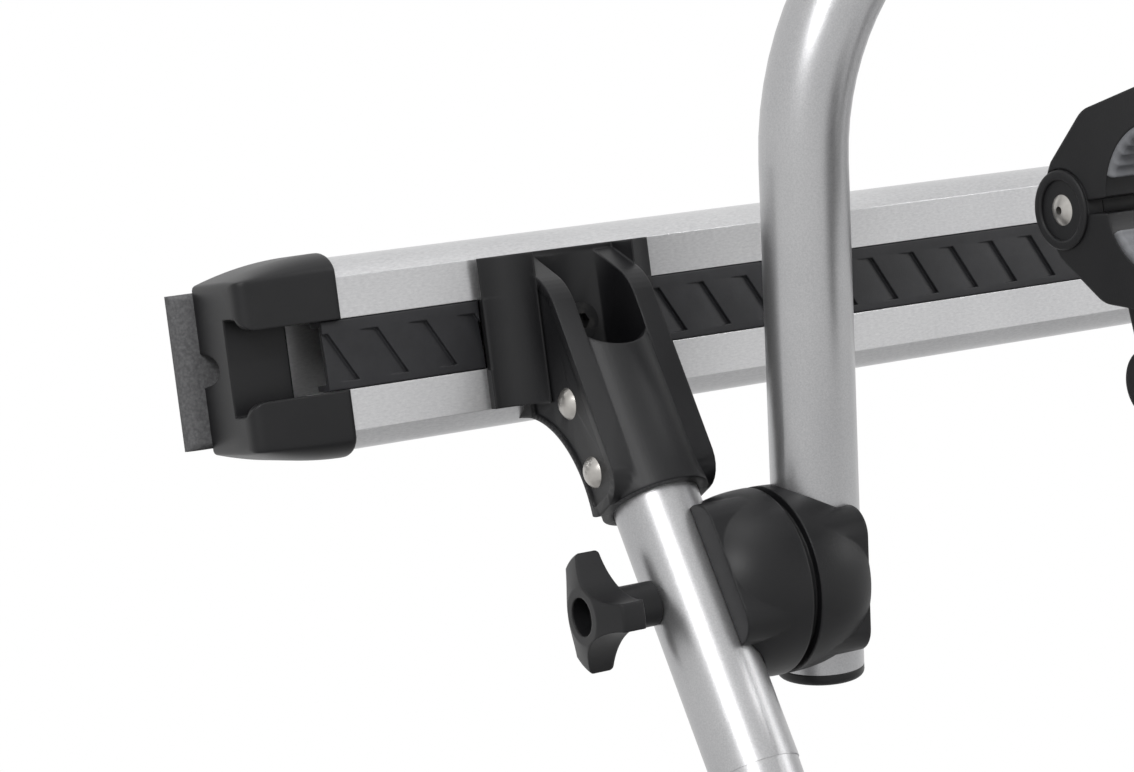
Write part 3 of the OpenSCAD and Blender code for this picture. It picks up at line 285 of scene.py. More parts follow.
# Meshes from arrays
def meshFromGrid(name, points, closeAlong=False, flatEnds=False):
    # points[i, j] walks along i and round the section j; quads join neighbours. The two ends are closed by
    # fans, or by one flat face each where the section isn't convex
    along, across = points.shape[:2]
    row = np.arange(along if closeAlong else along - 1)[:, None]
    column = np.arange(across)[None, :]
    nextRow = (row + 1) % along
    nextColumn = (column + 1) % across
    quads = np.stack([row * across + column, row * across + nextColumn,
                      nextRow * across + nextColumn, nextRow * across + column], axis=-1).reshape(-1, 4)
    vertices = points.reshape(-1, 3)
    faces = quads.tolist()
    if flatEnds:
        faces += [list(range(across))[::-1], list(range((along - 1) * across, along * across))]
    elif not closeAlong:
        vertices = np.concatenate([vertices, points[0].mean(axis=0)[None], points[-1].mean(axis=0)[None]])
        ring = np.arange(across)
        first = len(vertices) - 2
        faces += np.stack([np.full(across, first), np.roll(ring, -1), ring], axis=-1).tolist()
        last = (along - 1) * across + ring
        faces += np.stack([np.full(across, first + 1), last, np.roll(last, -1)], axis=-1).tolist()
    mesh = bpy.data.meshes.new(name)
    mesh.from_pydata(vertices.tolist(), [], faces)
    mesh.update()
    return mesh


def makePrism(name, outline, low, high, axes):
    # an outline in the plane of the first two axes, drawn straight along the third from low to high
    outline = np.array(outline, float)
    points = np.empty((2, len(outline), 3))
    points[:, :, axes[0]] = outline[:, 0]
    points[:, :, axes[1]] = outline[:, 1]
    points[:, :, axes[2]] = np.array([low, high])[:, None]
    return meshFromGrid(name, points, flatEnds=True)


def joinMeshes(name, meshes):
    # one mesh of them all, with its faces turned outwards
    joined = bmesh.new()
    for mesh in meshes:
        joined.from_mesh(mesh)
        bpy.data.meshes.remove(mesh)
    bmesh.ops.recalc_face_normals(joined, faces=joined.faces)
    whole = bpy.data.meshes.new(name)
    joined.to_mesh(whole)
    joined.free()
    return whole


def movedCopy(mesh, *moves):
    # a copy, with one matrix after another applied to its points
    copy = mesh.copy()
    for move in moves:
        copy.transform(move)
    return copy


def mergePoints(name, mesh, gap, clearSlivers=False):
    # a copy with the points nearer than the gap merged and, if asked, without faces thinner than it
    solid = bmesh.new()
    solid.from_mesh(mesh)
    bmesh.ops.remove_doubles(solid, verts=solid.verts, dist=gap)
    if clearSlivers:
        bmesh.ops.dissolve_degenerate(solid, edges=solid.edges, dist=gap)
    merged = bpy.data.meshes.new(name)
    solid.to_mesh(merged)
    solid.free()
    return merged


meshValues = {"creases": 28.0, "seamGap": 0.00001}


def carve(wholes, cores, overlap=True):
    # the first solids less the second ones; overlap says that the first ones cut into each other
    pair = []
    for mesh in (joinMeshes("whole", wholes), joinMeshes("core", cores)):
        pair.append(bpy.data.objects.new(mesh.name, mesh))
        bpy.context.scene.collection.objects.link(pair[-1])
    cut = pair[0].modifiers.new("cut", "BOOLEAN")
    cut.operation, cut.solver, cut.object, cut.use_self = "DIFFERENCE", "EXACT", pair[1], overlap
    bpy.context.view_layer.update()
    carved = bpy.data.meshes.new_from_object(pair[0].evaluated_get(bpy.context.evaluated_depsgraph_get()))
    for spare in pair:
        bpy.data.objects.remove(spare)
    return mergePoints("carved", carved, meshValues["seamGap"], clearSlivers=True)


def showPiece(name, meshes, finish, body, creased=True):
    # the meshes as one object at the origin, smooth but for the edges sharper than the crease angle
    whole = joinMeshes(name, meshes)
    whole.materials.append(finish)
    whole.polygons.foreach_set("use_smooth", np.full(len(whole.polygons), True))
    if creased:
        whole.set_sharp_from_angle(angle=math.radians(meshValues["creases"]))
    piece = bpy.data.objects.new(name, whole)
    bpy.context.scene.collection.objects.link(piece)
    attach(piece, body)
    return piece


def roundedOutline(corners, radii, steps):
    # corners of a flat outline, each one replaced by an arc of its own radius, whose middle lies on the
    # corner's bisector at the radius divided by the sine of half the corner's angle
    outline = []
    count = len(corners)
    for place in range(count):
        before, here, after = (np.array(corners[(place + shift) % count], float) for shift in (-1, 0, 1))
        toBefore = (before - here) / np.linalg.norm(before - here)
        toAfter = (after - here) / np.linalg.norm(after - here)
        half = math.acos(float(np.clip(toBefore @ toAfter, -1, 1))) / 2
        radius = radii[place]
        if radius <= 0:
            outline.append(here[None])
            continue
        middle = here + (toBefore + toAfter) / np.linalg.norm(toBefore + toAfter) * radius / math.sin(half)
        start = here + toBefore * radius / math.tan(half) - middle
        end = here + toAfter * radius / math.tan(half) - middle
        first = math.atan2(start[1], start[0])
        sweep = math.atan2(start[0] * end[1] - start[1] * end[0], float(start @ end))
        angle = first + sweep * np.linspace(0, 1, steps + 1)
        outline.append(middle + radius * np.stack([np.cos(angle), np.sin(angle)], axis=-1))
    return np.concatenate(outline)


def evenLoop(outline, count):
    # the closed outline walked at equal steps, with its outward normals and the length walked
    loop = np.concatenate([outline, outline[:1]])
    gone = np.concatenate([[0], np.cumsum(np.linalg.norm(np.diff(loop, axis=0), axis=1))])
    walk = np.linspace(0, gone[-1], count, endpoint=False)
    even = np.stack([np.interp(walk, gone, loop[:, 0]), np.interp(walk, gone, loop[:, 1])], axis=-1)
    run = np.roll(even, -1, axis=0) - np.roll(even, 1, axis=0)
    run /= np.linalg.norm(run, axis=1)[:, None]
    return even, np.stack([run[:, 1], -run[:, 0]], axis=-1), walk


# Ratchet straps: a ribbed band looped round each wheel rail, under the wheel's place
strapValues = {"half": 0.0311, "wall": 0.002, "rise": 0.034, "railHeight": 0.030, "width": 0.024,
               "tooth": 0.0008, "toothPitch": 0.0055, "toothRise": 1.25, "toothFall": 6, "teethFrom": 0.024,
               "teethFade": 0.006, "lanes": (-1, -0.94, -0.72, -0.68, 0, 0.68, 0.72, 0.94, 1), "ribEnd": 0.7,
               "thinEdge": 0.35, "footDrop": 0.0011, "footRound": 0.003, "archShy": 0.001, "shy": 0.0001,
               "arcSteps": 16, "steps": 560, "span": 0.520, "railsOut": (0.090, 0.280), "seatRise": 0.0021}


def makeStraps(hinge, seat):
    # the band's middle line is a rounded box with an arched top. Its outer face rises in saw teeth along the
    # arch, height = tooth x fraction of the pitch walked, and its long edges are rounded off
    values = strapValues
    half, foot = values["half"], -values["footDrop"]
    top = values["railHeight"] + values["rise"] - values["archShy"]
    corners = [(-half, foot), (half, foot), (half, top), (-half, top)]
    radii = [values["footRound"]] * 2 + [half - values["archShy"]] * 2
    even, outward, walk = evenLoop(roundedOutline(corners, radii, values["arcSteps"]), values["steps"])
    high = np.clip((even[:, 1] - values["teethFrom"]) / values["teethFade"], 0, 1)
    saw = (walk / values["toothPitch"]) % 1.0
    rising, falling = np.clip(saw * values["toothRise"], 0, 1), np.clip((1 - saw) * values["toothFall"], 0, 1)
    toothHeight = values["tooth"] * high * rising * falling
    lane = np.array(values["lanes"])
    rib = np.where(np.abs(lane) < values["ribEnd"], 1, 0)
    edge = np.where(np.abs(lane) < 1, 1, values["thinEdge"])
    thin = values["wall"] / 2 - values["shy"]
    outerLift = thin * edge[None, :] + toothHeight[:, None] * rib[None, :]
    innerLift = -thin * edge[None, ::-1] * np.ones((len(even), 1))
    lift = np.concatenate([outerLift, innerLift], axis=1)
    across = np.concatenate([lane, lane[::-1]]) * values["width"] / 2
    ring = even[:, None, :] + outward[:, None, :] * lift[:, :, None]
    band = np.stack([np.broadcast_to(across, ring.shape[:2]), ring[:, :, 0], ring[:, :, 1]], axis=-1)
    places = [(side * values["span"], hinge - out, seat) for out in values["railsOut"] for side in (-1, 1)]
    return [meshFromGrid("strapBand", band + np.array(place), closeAlong=True) for place in places]


strapLow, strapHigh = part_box("wheel_straps")
hingeDepth = (strapLow.y + strapHigh.y) / 2 + sum(strapValues["railsOut"]) / 2
straps = showPiece("ratchet_straps", makeStraps(hingeDepth, strapLow.z + strapValues["seatRise"]),
                   finishes["moulded_black"], "platform", creased=False)
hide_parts("wheel_straps")
print("straps made")


# Sponge pads between the beams and the wall
padValues = {"thickness": 0.006, "height": 0.054, "bulge": 0.0006, "waves": (46, 17), "waveShift": 0.7,
             "boltPlace": 0.503, "nip": 0.8, "nipWidth": 0.02, "edge": 0.0026, "backEdge": 0.0005,
             "edgeSteps": 6, "endRound": 0.006, "endLeft": 0.03, "endSteps": 12, "steps": 420, "shy": 0.0001,
             "levels": (0.310, -0.310)}


def makeSealPads(reach):
    # a rounded strip: its long edges swell by bulge x a slow wave and are nipped in at the wall bolts, and
    # its thickness falls away at both ends along a quarter circle
    values = padValues
    front, back, half = -values["thickness"] + values["shy"], -values["shy"], values["height"] / 2
    near = values["endRound"] * (1 - np.cos(np.linspace(0, math.pi / 2, values["endSteps"])))
    straight = reach - values["endRound"]
    middle = np.linspace(-straight, straight, values["steps"])[1:-1]
    along = np.concatenate([-reach + near, middle, reach - near[::-1]])
    corners = [(front, -half), (back, -half), (back, half), (front, half)]
    radii = [values["edge"], values["backEdge"], values["backEdge"], values["edge"]]
    outline = roundedOutline(corners, radii, values["edgeSteps"])
    long, short = values["waves"]
    swell = values["bulge"] * (0.5 + 0.5 * np.sin(along * long) * np.sin(along * short + values["waveShift"]))
    nip = 1 - values["nip"] * np.exp(-((np.abs(along) - values["boltPlace"]) / values["nipWidth"]) ** 2)
    stretch = 1 - (values["bulge"] - swell * nip)[:, None] * 2 / values["height"]
    gone = np.clip((reach - np.abs(along)) / values["endRound"], 0, 1)
    thin = np.sqrt(1 - (1 - gone) ** 2)[:, None] * (1 - values["endLeft"]) + values["endLeft"]
    meshes = []
    for level in values["levels"]:
        rise = outline[None, :, 1] * stretch + level
        width = np.broadcast_to(along[:, None], rise.shape)
        meshes.append(meshFromGrid("sealPad", np.stack([width, outline[None, :, 0] * thin, rise], axis=-1)))
    return meshes


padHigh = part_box("seal_pads")[1]
sealPads = showPiece("sponge_pads", makeSealPads(padHigh.x - padValues["shy"]), finishes["seal_foam"],
                     "wall_frame", creased=False)
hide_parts("seal_pads")
print("seal pads made")


# Grip pads: ribbed rubber lining the mouth of each jaw
gripValues = {"mouth": 0.024, "thickness": 0.004, "out": 0.046, "lip": 0.009, "width": 0.028,
              "ribPitch": 0.0042, "ribDepth": 0.0008, "edge": 0.0009, "shoulder": 0.78, "endGap": 0.01,
              "endFade": 0.05, "endDepth": 0.7, "steps": 150, "shy": 0.00008}


def makeGripPad(pivot, side):
    # an arc about the mouth's centre: every section is a rounded box, and its inner side is scalloped,
    # radius = inner radius + rib depth x |sin(half the turn walked / pitch)|
    values = gripValues
    outer = values["mouth"] - values["shy"]
    inner = values["mouth"] - values["thickness"]
    start = math.asin((values["lip"] + values["shy"]) / outer) + values["endGap"]
    angle = np.linspace(start, math.pi - start, values["steps"])
    half = values["width"] / 2 - values["shy"]
    flat, quarter, shoulder = half - values["edge"], half * 0.5, values["shoulder"]
    across = np.array([-half, -half, -flat, -quarter, 0, quarter, flat, half, half, quarter, 0, -quarter])
    depth = np.array([0, shoulder, 1, 1, 1, 1, 1, shoulder, 0, 0, 0, 0])
    scallop = values["ribDepth"] * np.abs(np.sin(angle * inner / values["ribPitch"] * math.pi))
    ends = np.clip(np.minimum(angle - angle[0], angle[-1] - angle) / values["endFade"], 0, 1)
    inward = (outer - inner - scallop) * (values["endDepth"] + (1 - values["endDepth"]) * np.sqrt(ends))
    radius = outer - inward[:, None] * depth[None, :]
    out = pivot[1] - values["out"] + radius * np.cos(angle)[:, None]
    rise = pivot[2] + side * radius * np.sin(angle)[:, None]
    width = np.broadcast_to(pivot[0] + across[None, :], radius.shape)
    return meshFromGrid("gripPad", np.stack([width, out, rise], axis=-1))


def fitGripPads():
    # one pad in each half of both mouths
    for key in ("short", "long"):
        low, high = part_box(key + "_upper_pad")
        mouth = (Vector(low) + Vector(high)) / 2
        pivot = (mouth.x, mouth.y + gripValues["out"], low.z - gripValues["lip"])
        for level, side, body in (("upper", 1, key + "_upper_jaw"), ("lower", -1, key + "_holder")):
            pad = showPiece(f"{key}_{level}_grip", [makeGripPad(pivot, side)], finishes["pad_rubber"], body,
                            creased=False)
            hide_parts(f"{key}_{level}_pad")


fitGripPads()
print("grip pads made")


# End caps: a block past the beam with a T-shaped slot, and a thin sleeve over the beam's end
capValues = {"wall": 0.002, "reach": 0.022, "grip": 0.015, "backPlace": -0.006, "beamFront": -0.042,
             "faceHalf": 0.026, "fullHalf": 0.033, "shoulder": 0.014, "endHalf": 0.0287, "cornerRound": 0.005,
             "mouthHalf": 0.012, "lipRound": 0.006, "slotHalf": 0.0165, "slotFloor": -0.030, "lip": 0.0045,
             "lipLeast": 0.0008, "lipShy": 0.0002, "notchHalf": 0.0058, "notchDeep": 0.0155,
             "notchRun": 0.008, "edge": 0.0012, "levels": (0.310, -0.310), "coreHair": 0.00006,
             "coreBack": 0.004, "firstWalk": (0, 0.0003, 0.0007, 0.0012), "evenFrom": 0.0018,
             "evenTo": 0.0009, "evenSteps": 34, "lastWalk": (0.0005, 0.0002, 0), "shoulderSteps": 18,
             "topSteps": 14, "sideSteps": 10, "rearSteps": 62, "slotSteps": 8}


def capOutline(grow, top, front):
    # half of the beam's outline as depth and height: round the shoulder along a quarter of an ellipse, then
    # back along the top
    values = capValues
    face = values["faceHalf"] + grow
    turn = np.linspace(0, math.pi / 2, values["shoulderSteps"])
    shoulder = np.stack([front + values["shoulder"] * (1 - np.cos(turn)),
                         face + (top - face) * np.sin(turn)], -1)
    run = np.linspace(0, 1, values["topSteps"])[1:, None]
    back = shoulder[-1] + (np.array([values["backPlace"], top]) - shoulder[-1]) * run
    return np.concatenate([shoulder, back])


def slotOutline(front, mouth):
    # the T-shaped slot from its lower lip round to its upper one, in short steps
    values = capValues
    lipBack = max(values["beamFront"] - values["wall"] + values["lip"], front + values["lipLeast"])
    top, floor = values["slotHalf"], values["slotFloor"]
    corners = np.array([[front, -mouth], [lipBack, -mouth], [lipBack, -top], [floor, -top],
                        [floor, top], [lipBack, top], [lipBack, mouth], [front, mouth]])
    run = np.linspace(0, 1, values["slotSteps"])[1:, None]
    return np.concatenate([start + (end - start) * run for start, end in zip(corners[:-1], corners[1:])])[:-1]


def capSection(d):
    # the cap's outline at the distance d from its outer end
    values = capValues
    length = values["reach"] + values["grip"]
    grown = values["fullHalf"] + values["wall"]
    cornerLeft, lipLeft = (max(0.0, values[key] - d) for key in ("cornerRound", "lipRound"))
    near = max(0.0, values["edge"] - min(d, length - d))
    ease = values["edge"] - math.sqrt(values["edge"] ** 2 - near ** 2)
    front = values["beamFront"] - values["wall"] + ease
    front += values["cornerRound"] - math.sqrt(values["cornerRound"] ** 2 - cornerLeft ** 2)
    top = values["endHalf"] + (grown - values["endHalf"]) * (1 - (1 - d / length) ** 2) - ease
    mouth = values["mouthHalf"] + values["lipRound"] - math.sqrt(values["lipRound"] ** 2 - lipLeft ** 2)
    mouth = min(mouth, values["slotHalf"] - values["lipShy"])
    outline = capOutline(values["wall"] - ease, top, front)
    side = mouth + (outline[0, 1] - mouth) * np.linspace(0, 1, values["sideSteps"])[:-1]
    upper = np.concatenate([np.stack([np.full(len(side), front), side], -1), outline])
    rear = np.linspace(top, -top, values["rearSteps"])[1:-1]
    bite = values["notchDeep"] * math.sqrt(max(0.0, 1 - (d / values["notchRun"]) ** 2))
    dent = bite * np.sqrt(np.clip(1 - (rear / values["notchHalf"]) ** 2, 0, None))
    behind = np.stack([values["backPlace"] - dent, rear], -1)
    return np.concatenate([upper, behind, upper[::-1] * [1, -1], slotOutline(front, mouth)])


def makeCapBlock():
    # sections at growing distance d from the outer end: the half height rises as 1 - (1 - d / length)
    # squared, the front face and the lips turn in along quarter circles, and a half-round notch is let into
    # the back
    values = capValues
    length = values["reach"] + values["grip"]
    middle = np.linspace(values["evenFrom"], length - values["evenTo"], values["evenSteps"])
    walk = np.concatenate([values["firstWalk"], middle, length - np.array(values["lastWalk"])])
    rings = np.stack([capSection(d) for d in walk])
    across = np.broadcast_to(walk[:, None], rings.shape[:2])
    points = np.stack([across, rings[:, :, 0], rings[:, :, 1]], axis=-1)
    return meshFromGrid("capBlock", points, flatEnds=True)


def makeBeamCore():
    # the beam's own outline, a hair larger, from its end inwards
    values = capValues
    hair = values["coreHair"]
    half = capOutline(hair, values["fullHalf"] + hair, values["beamFront"] - hair)
    half[-1, 0] = values["coreBack"]
    loop = np.concatenate([half, half[::-1] * [1, -1]])
    return makePrism("beamCore", loop, values["reach"], values["reach"] + 2 * values["grip"], (1, 2, 0))


def placeCaps(cap, endPlace, level):
    # the same cap at both ends of a beam
    meshes = []
    place = np.empty(len(cap.vertices) * 3)
    cap.vertices.foreach_get("co", place)
    for side in (1, -1):
        copy = cap.copy()
        moved = (place.reshape(-1, 3) + [endPlace, 0, level]) * [side, 1, 1]
        copy.vertices.foreach_set("co", moved.ravel())
        meshes.append(copy)
    return meshes


capShape = carve([makeCapBlock()], [makeBeamCore()])
for node, level in zip(("upper_beam_caps", "lower_beam_caps"), capValues["levels"]):
    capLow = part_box(node)[0]
    caps = showPiece(node.replace("beam", "end"), placeCaps(capShape, capLow.x, level),
                     finishes["moulded_black"], "wall_frame")
    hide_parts(node)
print("end caps made")


# Cover strips: a rubber section with barbed legs in the beam's slot, and leaning wedge recesses in its face
stripValues = {"front": -0.042, "half": 0.0118, "thickness": 0.0024, "lip": 0.003, "barbRise": 0.0016,
               "barbRun": 0.0026, "legRun": 0.007, "legWall": 0.002, "edge": 0.0005, "edgeSteps": 5,
               "bracketPlace": 0.462, "bracketGap": 0.0337, "pitch": 0.01855, "firstLine": -0.5489,
               "ramp": 0.007, "depth": 0.0014, "wall": 0.0003, "rise": 0.0075, "drop": 0.009, "lean": 30.0,
               "over": 0.002}


def makeStripBody(start, end):
    # the section as depth and height, drawn straight along the beam
    values = stripValues
    front, half = values["front"], values["half"]
    back, barb = front + values["thickness"], front + values["lip"]
    legEnd = back + values["legRun"]
    inner = half - values["legWall"]
    corners = [(front, half), (barb, half), (barb, half + values["barbRise"]),
               (barb + values["barbRun"], half), (legEnd, half), (legEnd, inner), (back, inner)]
    corners += [(depth, -height) for depth, height in corners[::-1]]
    rounds = [values["edge"]] + [0] * (len(corners) - 2) + [values["edge"]]
    return makePrism("stripBody", roundedOutline(corners, rounds, values["edgeSteps"]), start, end, (1, 2, 0))


def makeRecess(line):
    # a wedge: flush at the ramp's start, deepest at the line, which shifts by the tangent of the lean for
    # each unit of height
    values = stripValues
    profile = np.array([(-values["ramp"], 0), (0, values["depth"]), (values["wall"], 0),
                        (values["wall"], -values["over"]), (-values["ramp"], -values["over"])])
    height = np.array([values["rise"], -values["drop"]])[:, None]
    across = line - height * math.tan(math.radians(values["lean"])) + profile[:, 0]
    depth = np.broadcast_to(values["front"] + profile[:, 1], across.shape)
    points = np.stack([across, depth, np.broadcast_to(height, across.shape)], -1)
    return meshFromGrid("recess", points, flatEnds=True)


def makeStrips(reach, levels):
    # three runs between the brackets and the beam's ends, less a recess at every pitch, at both beams' levels
    values = stripValues
    inner, outer = (values["bracketPlace"] + side * values["bracketGap"] for side in (-1, 1))
    runs = ((-reach, -outer), (-inner, inner), (outer, reach))
    lines = np.arange(values["firstLine"], reach, values["pitch"])
    strip = carve([makeStripBody(*run) for run in runs], [makeRecess(line) for line in lines])
    return [movedCopy(strip, Matrix.Translation((0, 0, level))) for level in levels]


strips = showPiece("ribbed_strips", makeStrips(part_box("cover_strips")[1].x, capValues["levels"]),
                   finishes["strip_rubber"], "wall_frame")
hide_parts("cover_strips")
print("cover strips made")


# Ball joint halves: a dome that nearly fills a square saddle plate, grooved round the parting face. Each half
# has its body, the tube's distance, how far it wraps past the tube, its outward side and its lean
shellValues = {"ball": 0.032, "long": 0.036, "full": 2.6, "groove": 0.0016, "step": 0.003, "gap": 0.00015,
               "side": 0.025, "corner": 0.009, "tubeHole": 0.01515, "boltHole": 0.00415, "over": 0.01,
               "lap": 0.0002, "domeSteps": 28, "cornerSteps": 12, "around": 96, "boltAround": 32,
               "halves": {"upper_outer_shells": ("wall_frame", 0.0295, -0.0025, 1, -26.0),
                          "upper_inner_shells": ("hoop", 0.0215, 0.004, -1, 9.2),
                          "lower_outer_shells": ("wall_frame", 0.0295, -0.0025, 1, 90.0),
                          "lower_inner_shells": ("platform", 0.0215, 0.004, -1, 90.0)}}


def makeRings(name, along, radii, count, middle=(0.0, 0.0), upright=False):
    # circles at the given places along an axis: x, or z for an upright one
    turn = np.linspace(0, 2 * math.pi, count, endpoint=False)
    first = middle[0] + np.outer(radii, np.cos(turn))
    second = middle[1] + np.outer(radii, np.sin(turn))
    run = np.broadcast_to(np.asarray(along, float)[:, None], first.shape)
    points = (first, second, run) if upright else (run, first, second)
    return meshFromGrid(name, np.stack(points, -1), flatEnds=True)


def makeJointHalf(offset, wrap):
    # the dome's radius is the ball's times (1 - (distance from the parting face / long) ^ full) ^ (1 / full)
    values = shellValues
    end, full, around = offset + wrap, values["full"], values["around"]
    away = np.linspace(values["groove"], end - values["lap"], values["domeSteps"])
    radii = values["ball"] * (1 - (away / values["long"]) ** full) ** (1 / full)
    dome = makeRings("dome", away, radii, around)
    rim = makeRings("rim", [values["gap"], values["groove"] + values["lap"]],
                    [values["ball"] - values["step"]] * 2, around)
    side = values["side"]
    corners = [(-side, -side), (side, -side), (side, side), (-side, side)]
    square = roundedOutline(corners, [values["corner"]] * 4, values["cornerSteps"])
    plate = makePrism("plate", square, values["groove"], end, (1, 2, 0))
    reach = values["ball"] + values["over"]
    tube = makeRings("tube", [-reach, reach], [values["tubeHole"]] * 2, around, (offset, 0.0), upright=True)
    bolt = makeRings("bolt", [-values["over"], end + values["over"]], [values["boltHole"]] * 2,
                     values["boltAround"])
    return carve([dome, rim, plate], [tube, bolt])


def fitShells(node):
    # both halves of a pair, turned about the joint's axis to the lean of their tube
    body, offset, wrap, outward, lean = shellValues["halves"][node]
    low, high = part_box(node)
    parting = high.x - (offset + wrap) if outward > 0 else high.x + shellValues["gap"]
    half = makeJointHalf(offset, wrap)
    turn = Matrix.Rotation(math.radians(lean), 4, "X")
    depth, level = (low.y + high.y) / 2, (low.z + high.z) / 2
    meshes = [movedCopy(half, turn, Matrix.Diagonal((side * outward, 1, 1, 1)),
                        Matrix.Translation((side * parting, depth, level))) for side in (1, -1)]
    shells = showPiece(node.replace("shells", "domes"), meshes, finishes["moulded_black"], body)
    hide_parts(node)


for node in shellValues["halves"]:
    fitShells(node)
print("ball joints made")


# Side tube brackets: the moulded solid, with its foot cut straight and a concave fillet up its whole side
bracketValues = {"side": 0.02, "foot": 0.0337, "wing": 0.047, "fillet": 0.014, "filletSteps": 14,
                 "front": -0.046, "level": 0.310, "mouthHalf": 0.012, "faceHalf": 0.026, "hook": 0.066,
                 "deep": 0.05, "sink": 0.0005, "merge": 1e-6}


def makeFillet(middle, side):
    # a quarter circle, hollow outwards, between the side plate and the foot: it leaves the plate by
    # fillet x (1 - cos turn) and nears the foot by fillet x sin turn
    values = bracketValues
    turn = np.linspace(0, math.pi / 2, values["filletSteps"])
    edge = middle + side * values["side"]
    curve = np.stack([edge + side * values["fillet"] * (1 - np.cos(turn)),
                      values["front"] - values["fillet"] * (1 - np.sin(turn))], -1)
    inside, back = edge - side * values["sink"], values["front"] + values["sink"]
    outline = [(inside, curve[0, 1]), *curve, (curve[-1, 0], back), (inside, back)]
    low, high = (values["level"] + half * values["faceHalf"] for half in (-1, 1))
    return makePrism("fillet", outline, low, high, (0, 1, 2))


def makeFootCutter(middle, side):
    # a stepped block over the foot's flared lower corner
    values = bracketValues
    foot, wing = (middle + side * values[key] for key in ("foot", "wing"))
    plate = middle + side * (values["side"] + values["sink"])
    mouth, face, hook = (values["level"] - values[key] for key in ("mouthHalf", "faceHalf", "hook"))
    corners = [(foot, mouth), (wing, mouth), (wing, hook), (plate, hook), (plate, face), (foot, face)]
    return makePrism("cutter", corners, values["front"] - values["deep"], 0.0, (0, 2, 1))


def trimBracket(node):
    # a merged copy of the solid, less the two cutters, with the two fillets added
    low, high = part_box(node)
    middle = (low.x + high.x) / 2
    solid = mergePoints(node, frame["nodes"][node].data, bracketValues["merge"])
    body = carve([solid], [makeFootCutter(middle, side) for side in (-1, 1)], overlap=False)
    fillets = [makeFillet(middle, side) for side in (-1, 1)]
    bracket = showPiece(node.replace("socket", "tube"), [body, *fillets], finishes["moulded_black"],
                        "wall_frame")
    even = bracket.modifiers.new("even", "WEIGHTED_NORMAL")
    even.keep_sharp = True
    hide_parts(node)


for node in ("socket_bracket_left", "socket_bracket_right"):
    trimBracket(node)
print("brackets trimmed")


# Raised rims round the jaws' hinge pins, on the outer face of each holder's head
rimValues = {"inner": 0.0098, "outer": 0.0129, "rise": 0.0011, "sink": 0.0004, "edge": 0.0005, "edgeSteps": 5,
             "count": 72}


def fitRim(pivot, side):
    # a ring: one rounded section walked round the pin
    values = rimValues
    low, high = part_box(pivot + "_jaw_pin")
    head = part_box(pivot + "_head")
    face = head[0].x if side < 0 else head[1].x
    inner, outer, sink, rise = (values[key] for key in ("inner", "outer", "sink", "rise"))
    corners = [(inner, -sink), (outer, -sink), (outer, rise), (inner, rise)]
    section = roundedOutline(corners, [0, 0, values["edge"], values["edge"]], values["edgeSteps"])
    turn = np.linspace(0, 2 * math.pi, values["count"], endpoint=False)[:, None]
    across = np.broadcast_to(face + side * section[:, 1], (values["count"], len(section)))
    points = np.stack([across, (low.y + high.y) / 2 + section[:, 0] * np.cos(turn),
                       (low.z + high.z) / 2 + section[:, 0] * np.sin(turn)], -1)
    showPiece(pivot + "_hinge_rim", [meshFromGrid("rim", points, closeAlong=True)],
              finishes["moulded_black"], pivot + "_holder")


fitRim("short", -1)
fitRim("long", 1)
print("hinge rims made")


# Camera, at the photograph's place
cameraView = {"place": (-0.9476, -0.9324, 0.3394), "right": (0.86901, -0.47814, -0.12729),
              "up": (0.13608, -0.01638, 0.99056), "lens": 92.06, "sensor": 36.0, "near": 0.01, "far": 60.0}


def placeCamera():
    # the up direction is squared to the right one before the camera is turned
    right = Vector(cameraView["right"]).normalized()
    up = Vector(cameraView["up"])
    up = (up - right * up.dot(right)).normalized()
    back = right.cross(up)
    data = bpy.data.cameras.new("photoCamera")
    data.lens = cameraView["lens"]
    data.sensor_width = cameraView["sensor"]
    data.clip_start = cameraView["near"]
    data.clip_end = cameraView["far"]
    camera = bpy.data.objects.new("photoCamera", data)
    bpy.context.scene.collection.objects.link(camera)
    turn = Matrix((right, up, back)).transposed().to_4x4()
    camera.matrix_world = Matrix.Translation(Vector(cameraView["place"])) @ turn
    bpy.context.scene.camera = camera


placeCamera()

lampValues = {
    "key": {"place": (-2.1, -1.9, 1.9), "aim": (-0.3, -0.15, 0.2), "size": 1.1, "power": 34.0},
    "top": {"place": (-0.6, -0.8, 3.0), "aim": (-0.3, -0.1, 0.1), "size": 1.6, "power": 15.0},
    "side": {"place": (2.4, -1.6, 1.2), "aim": (-0.1, -0.2, 0.0), "size": 1.2, "power": 14.0},
    "gleam": {"place": (1.3, -2.1, 1.85), "aim": (-0.3, -0.1, 0.3), "size": 0.3, "power": 11.0},
}


def hangLamps():
    # square soft lamps, each turned from its place to what it aims at
    for name, lamp in lampValues.items():
        data = bpy.data.lights.new(name + "Lamp", "AREA")
        data.shape = "SQUARE"
        data.size = lamp["size"]
        data.energy = lamp["power"]
        thing = bpy.data.objects.new(name + "Lamp", data)
        bpy.context.scene.collection.objects.link(thing)
        place = Vector(lamp["place"])
        turn = (Vector(lamp["aim"]) - place).to_track_quat("-Z", "Y").to_matrix().to_4x4()
        thing.matrix_world = Matrix.Translation(place) @ turn


hangLamps()

roomValues = {"floorRadius": 1.9, "floorHole": 0.02, "floorRings": 12, "floorAround": 96, "floorDrop": 0.03,
              "floorShade": 0.82, "dust": (3.0, 2.0), "dustTint": 1.04, "floorRoughness": 0.8,
              "floorGlow": 0.7, "fade": (0.55, 0.98), "skyShade": 1.0, "lightShade": 0.45}


def eyeRays(recipe):
    # one for rays from the camera, and for those that a mirror or clear surface sends on
    seen, glossy, clear = (recipe.add("LightPath", output=name) for name in
                           ("Is Camera Ray", "Is Glossy Ray", "Is Transmission Ray"))
    return 1 - (1 - seen) * (1 - glossy) * (1 - clear)


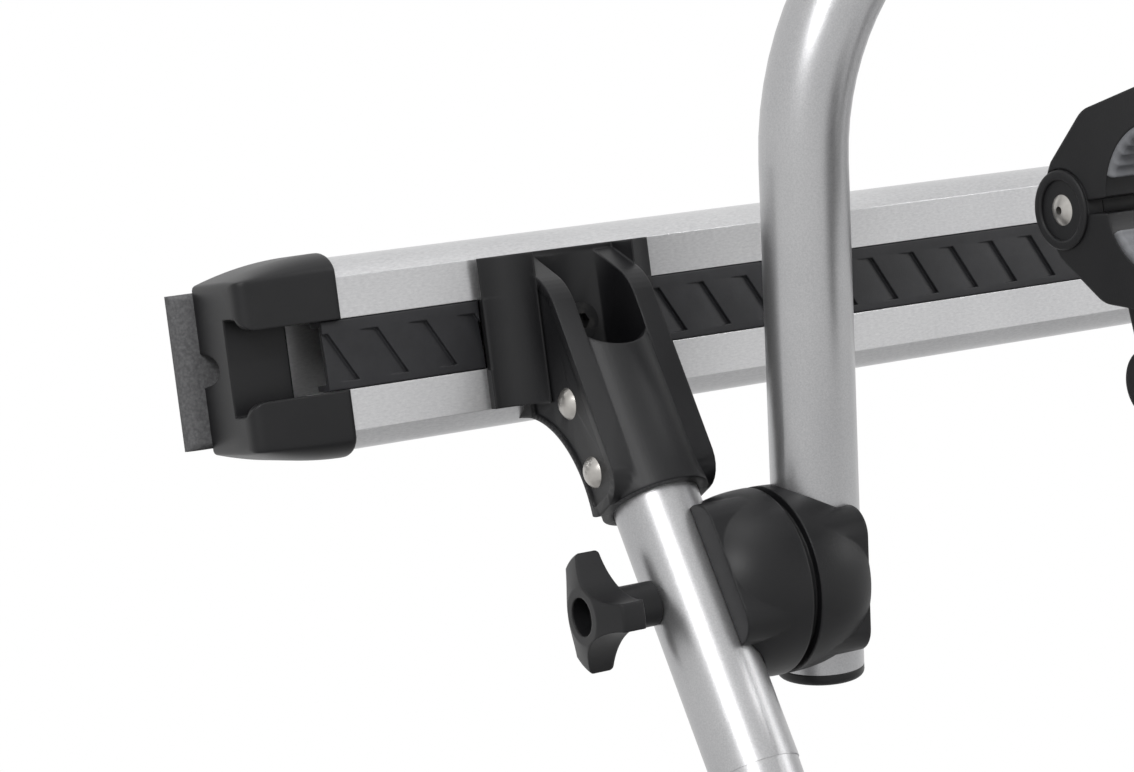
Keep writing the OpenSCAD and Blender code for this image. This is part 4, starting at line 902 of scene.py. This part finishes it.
def layFloor():
    # a disc of rings under the rack; the camera sees it near white, with the rack's shadow, and fading at
    # its rim
    values = roomValues
    wide, shade, glow = values["floorRadius"], values["floorShade"], values["floorGlow"]
    radius = wide * np.linspace(values["floorHole"], 1, values["floorRings"])[:, None]
    angle = np.linspace(0, 2 * math.pi, values["floorAround"], endpoint=False)[None, :]
    level = cadLow.z - values["floorDrop"]
    middle = (cadLow.y + cadHigh.y) / 2
    height = np.full((values["floorRings"], values["floorAround"]), level)
    points = np.stack([radius * np.cos(angle), middle + radius * np.sin(angle), height], axis=-1)
    mesh = meshFromGrid("studioFloor", points)
    floor = bpy.data.objects.new("studioFloor", mesh)
    bpy.context.scene.collection.objects.link(floor)
    recipe = Recipe("studioFloor")
    dust = recipe.noise(*values["dust"])
    recipe.finish(color=recipe.tint(dust, (shade,) * 3, (shade * values["dustTint"],) * 3),
                  roughness=values["floorRoughness"])
    apart = recipe.add("VectorMath", {"operation": "DISTANCE"}, {0: recipe.place, 1: (0, middle, level)},
                       output=1)
    rim = recipe.mask(apart, *(share * wide for share in values["fade"]))
    white = recipe.add("Emission", sockets={"Color": (1, 1, 1, 1), "Strength": 1.0})
    mixer = recipe.add("MixShader", sockets={0: eyeRays(recipe) * (rim * (1 - glow) + glow),
                                             1: Field(recipe.tree, recipe.shader.outputs[0]), 2: white})
    recipe.put(recipe.tree.nodes["Material Output"].inputs["Surface"], mixer)
    mesh.materials.append(recipe.material)


layFloor()


def lightSky():
    # the camera and mirror rays see white, and the surfaces are lit at a lower level
    world = bpy.data.worlds.new("studioSky")
    bpy.context.scene.world = world
    world.use_nodes = True
    recipe = Recipe(world=world)
    shade = recipe.tree.nodes["Background"]
    level = eyeRays(recipe) * (roomValues["skyShade"] - roomValues["lightShade"]) + roomValues["lightShade"]
    recipe.put(shade.inputs["Strength"], level)
    recipe.put(shade.inputs["Color"], (1, 1, 1, 1))


lightSky()
bpy.context.scene.view_settings.view_transform = "Standard"
print("studio set")
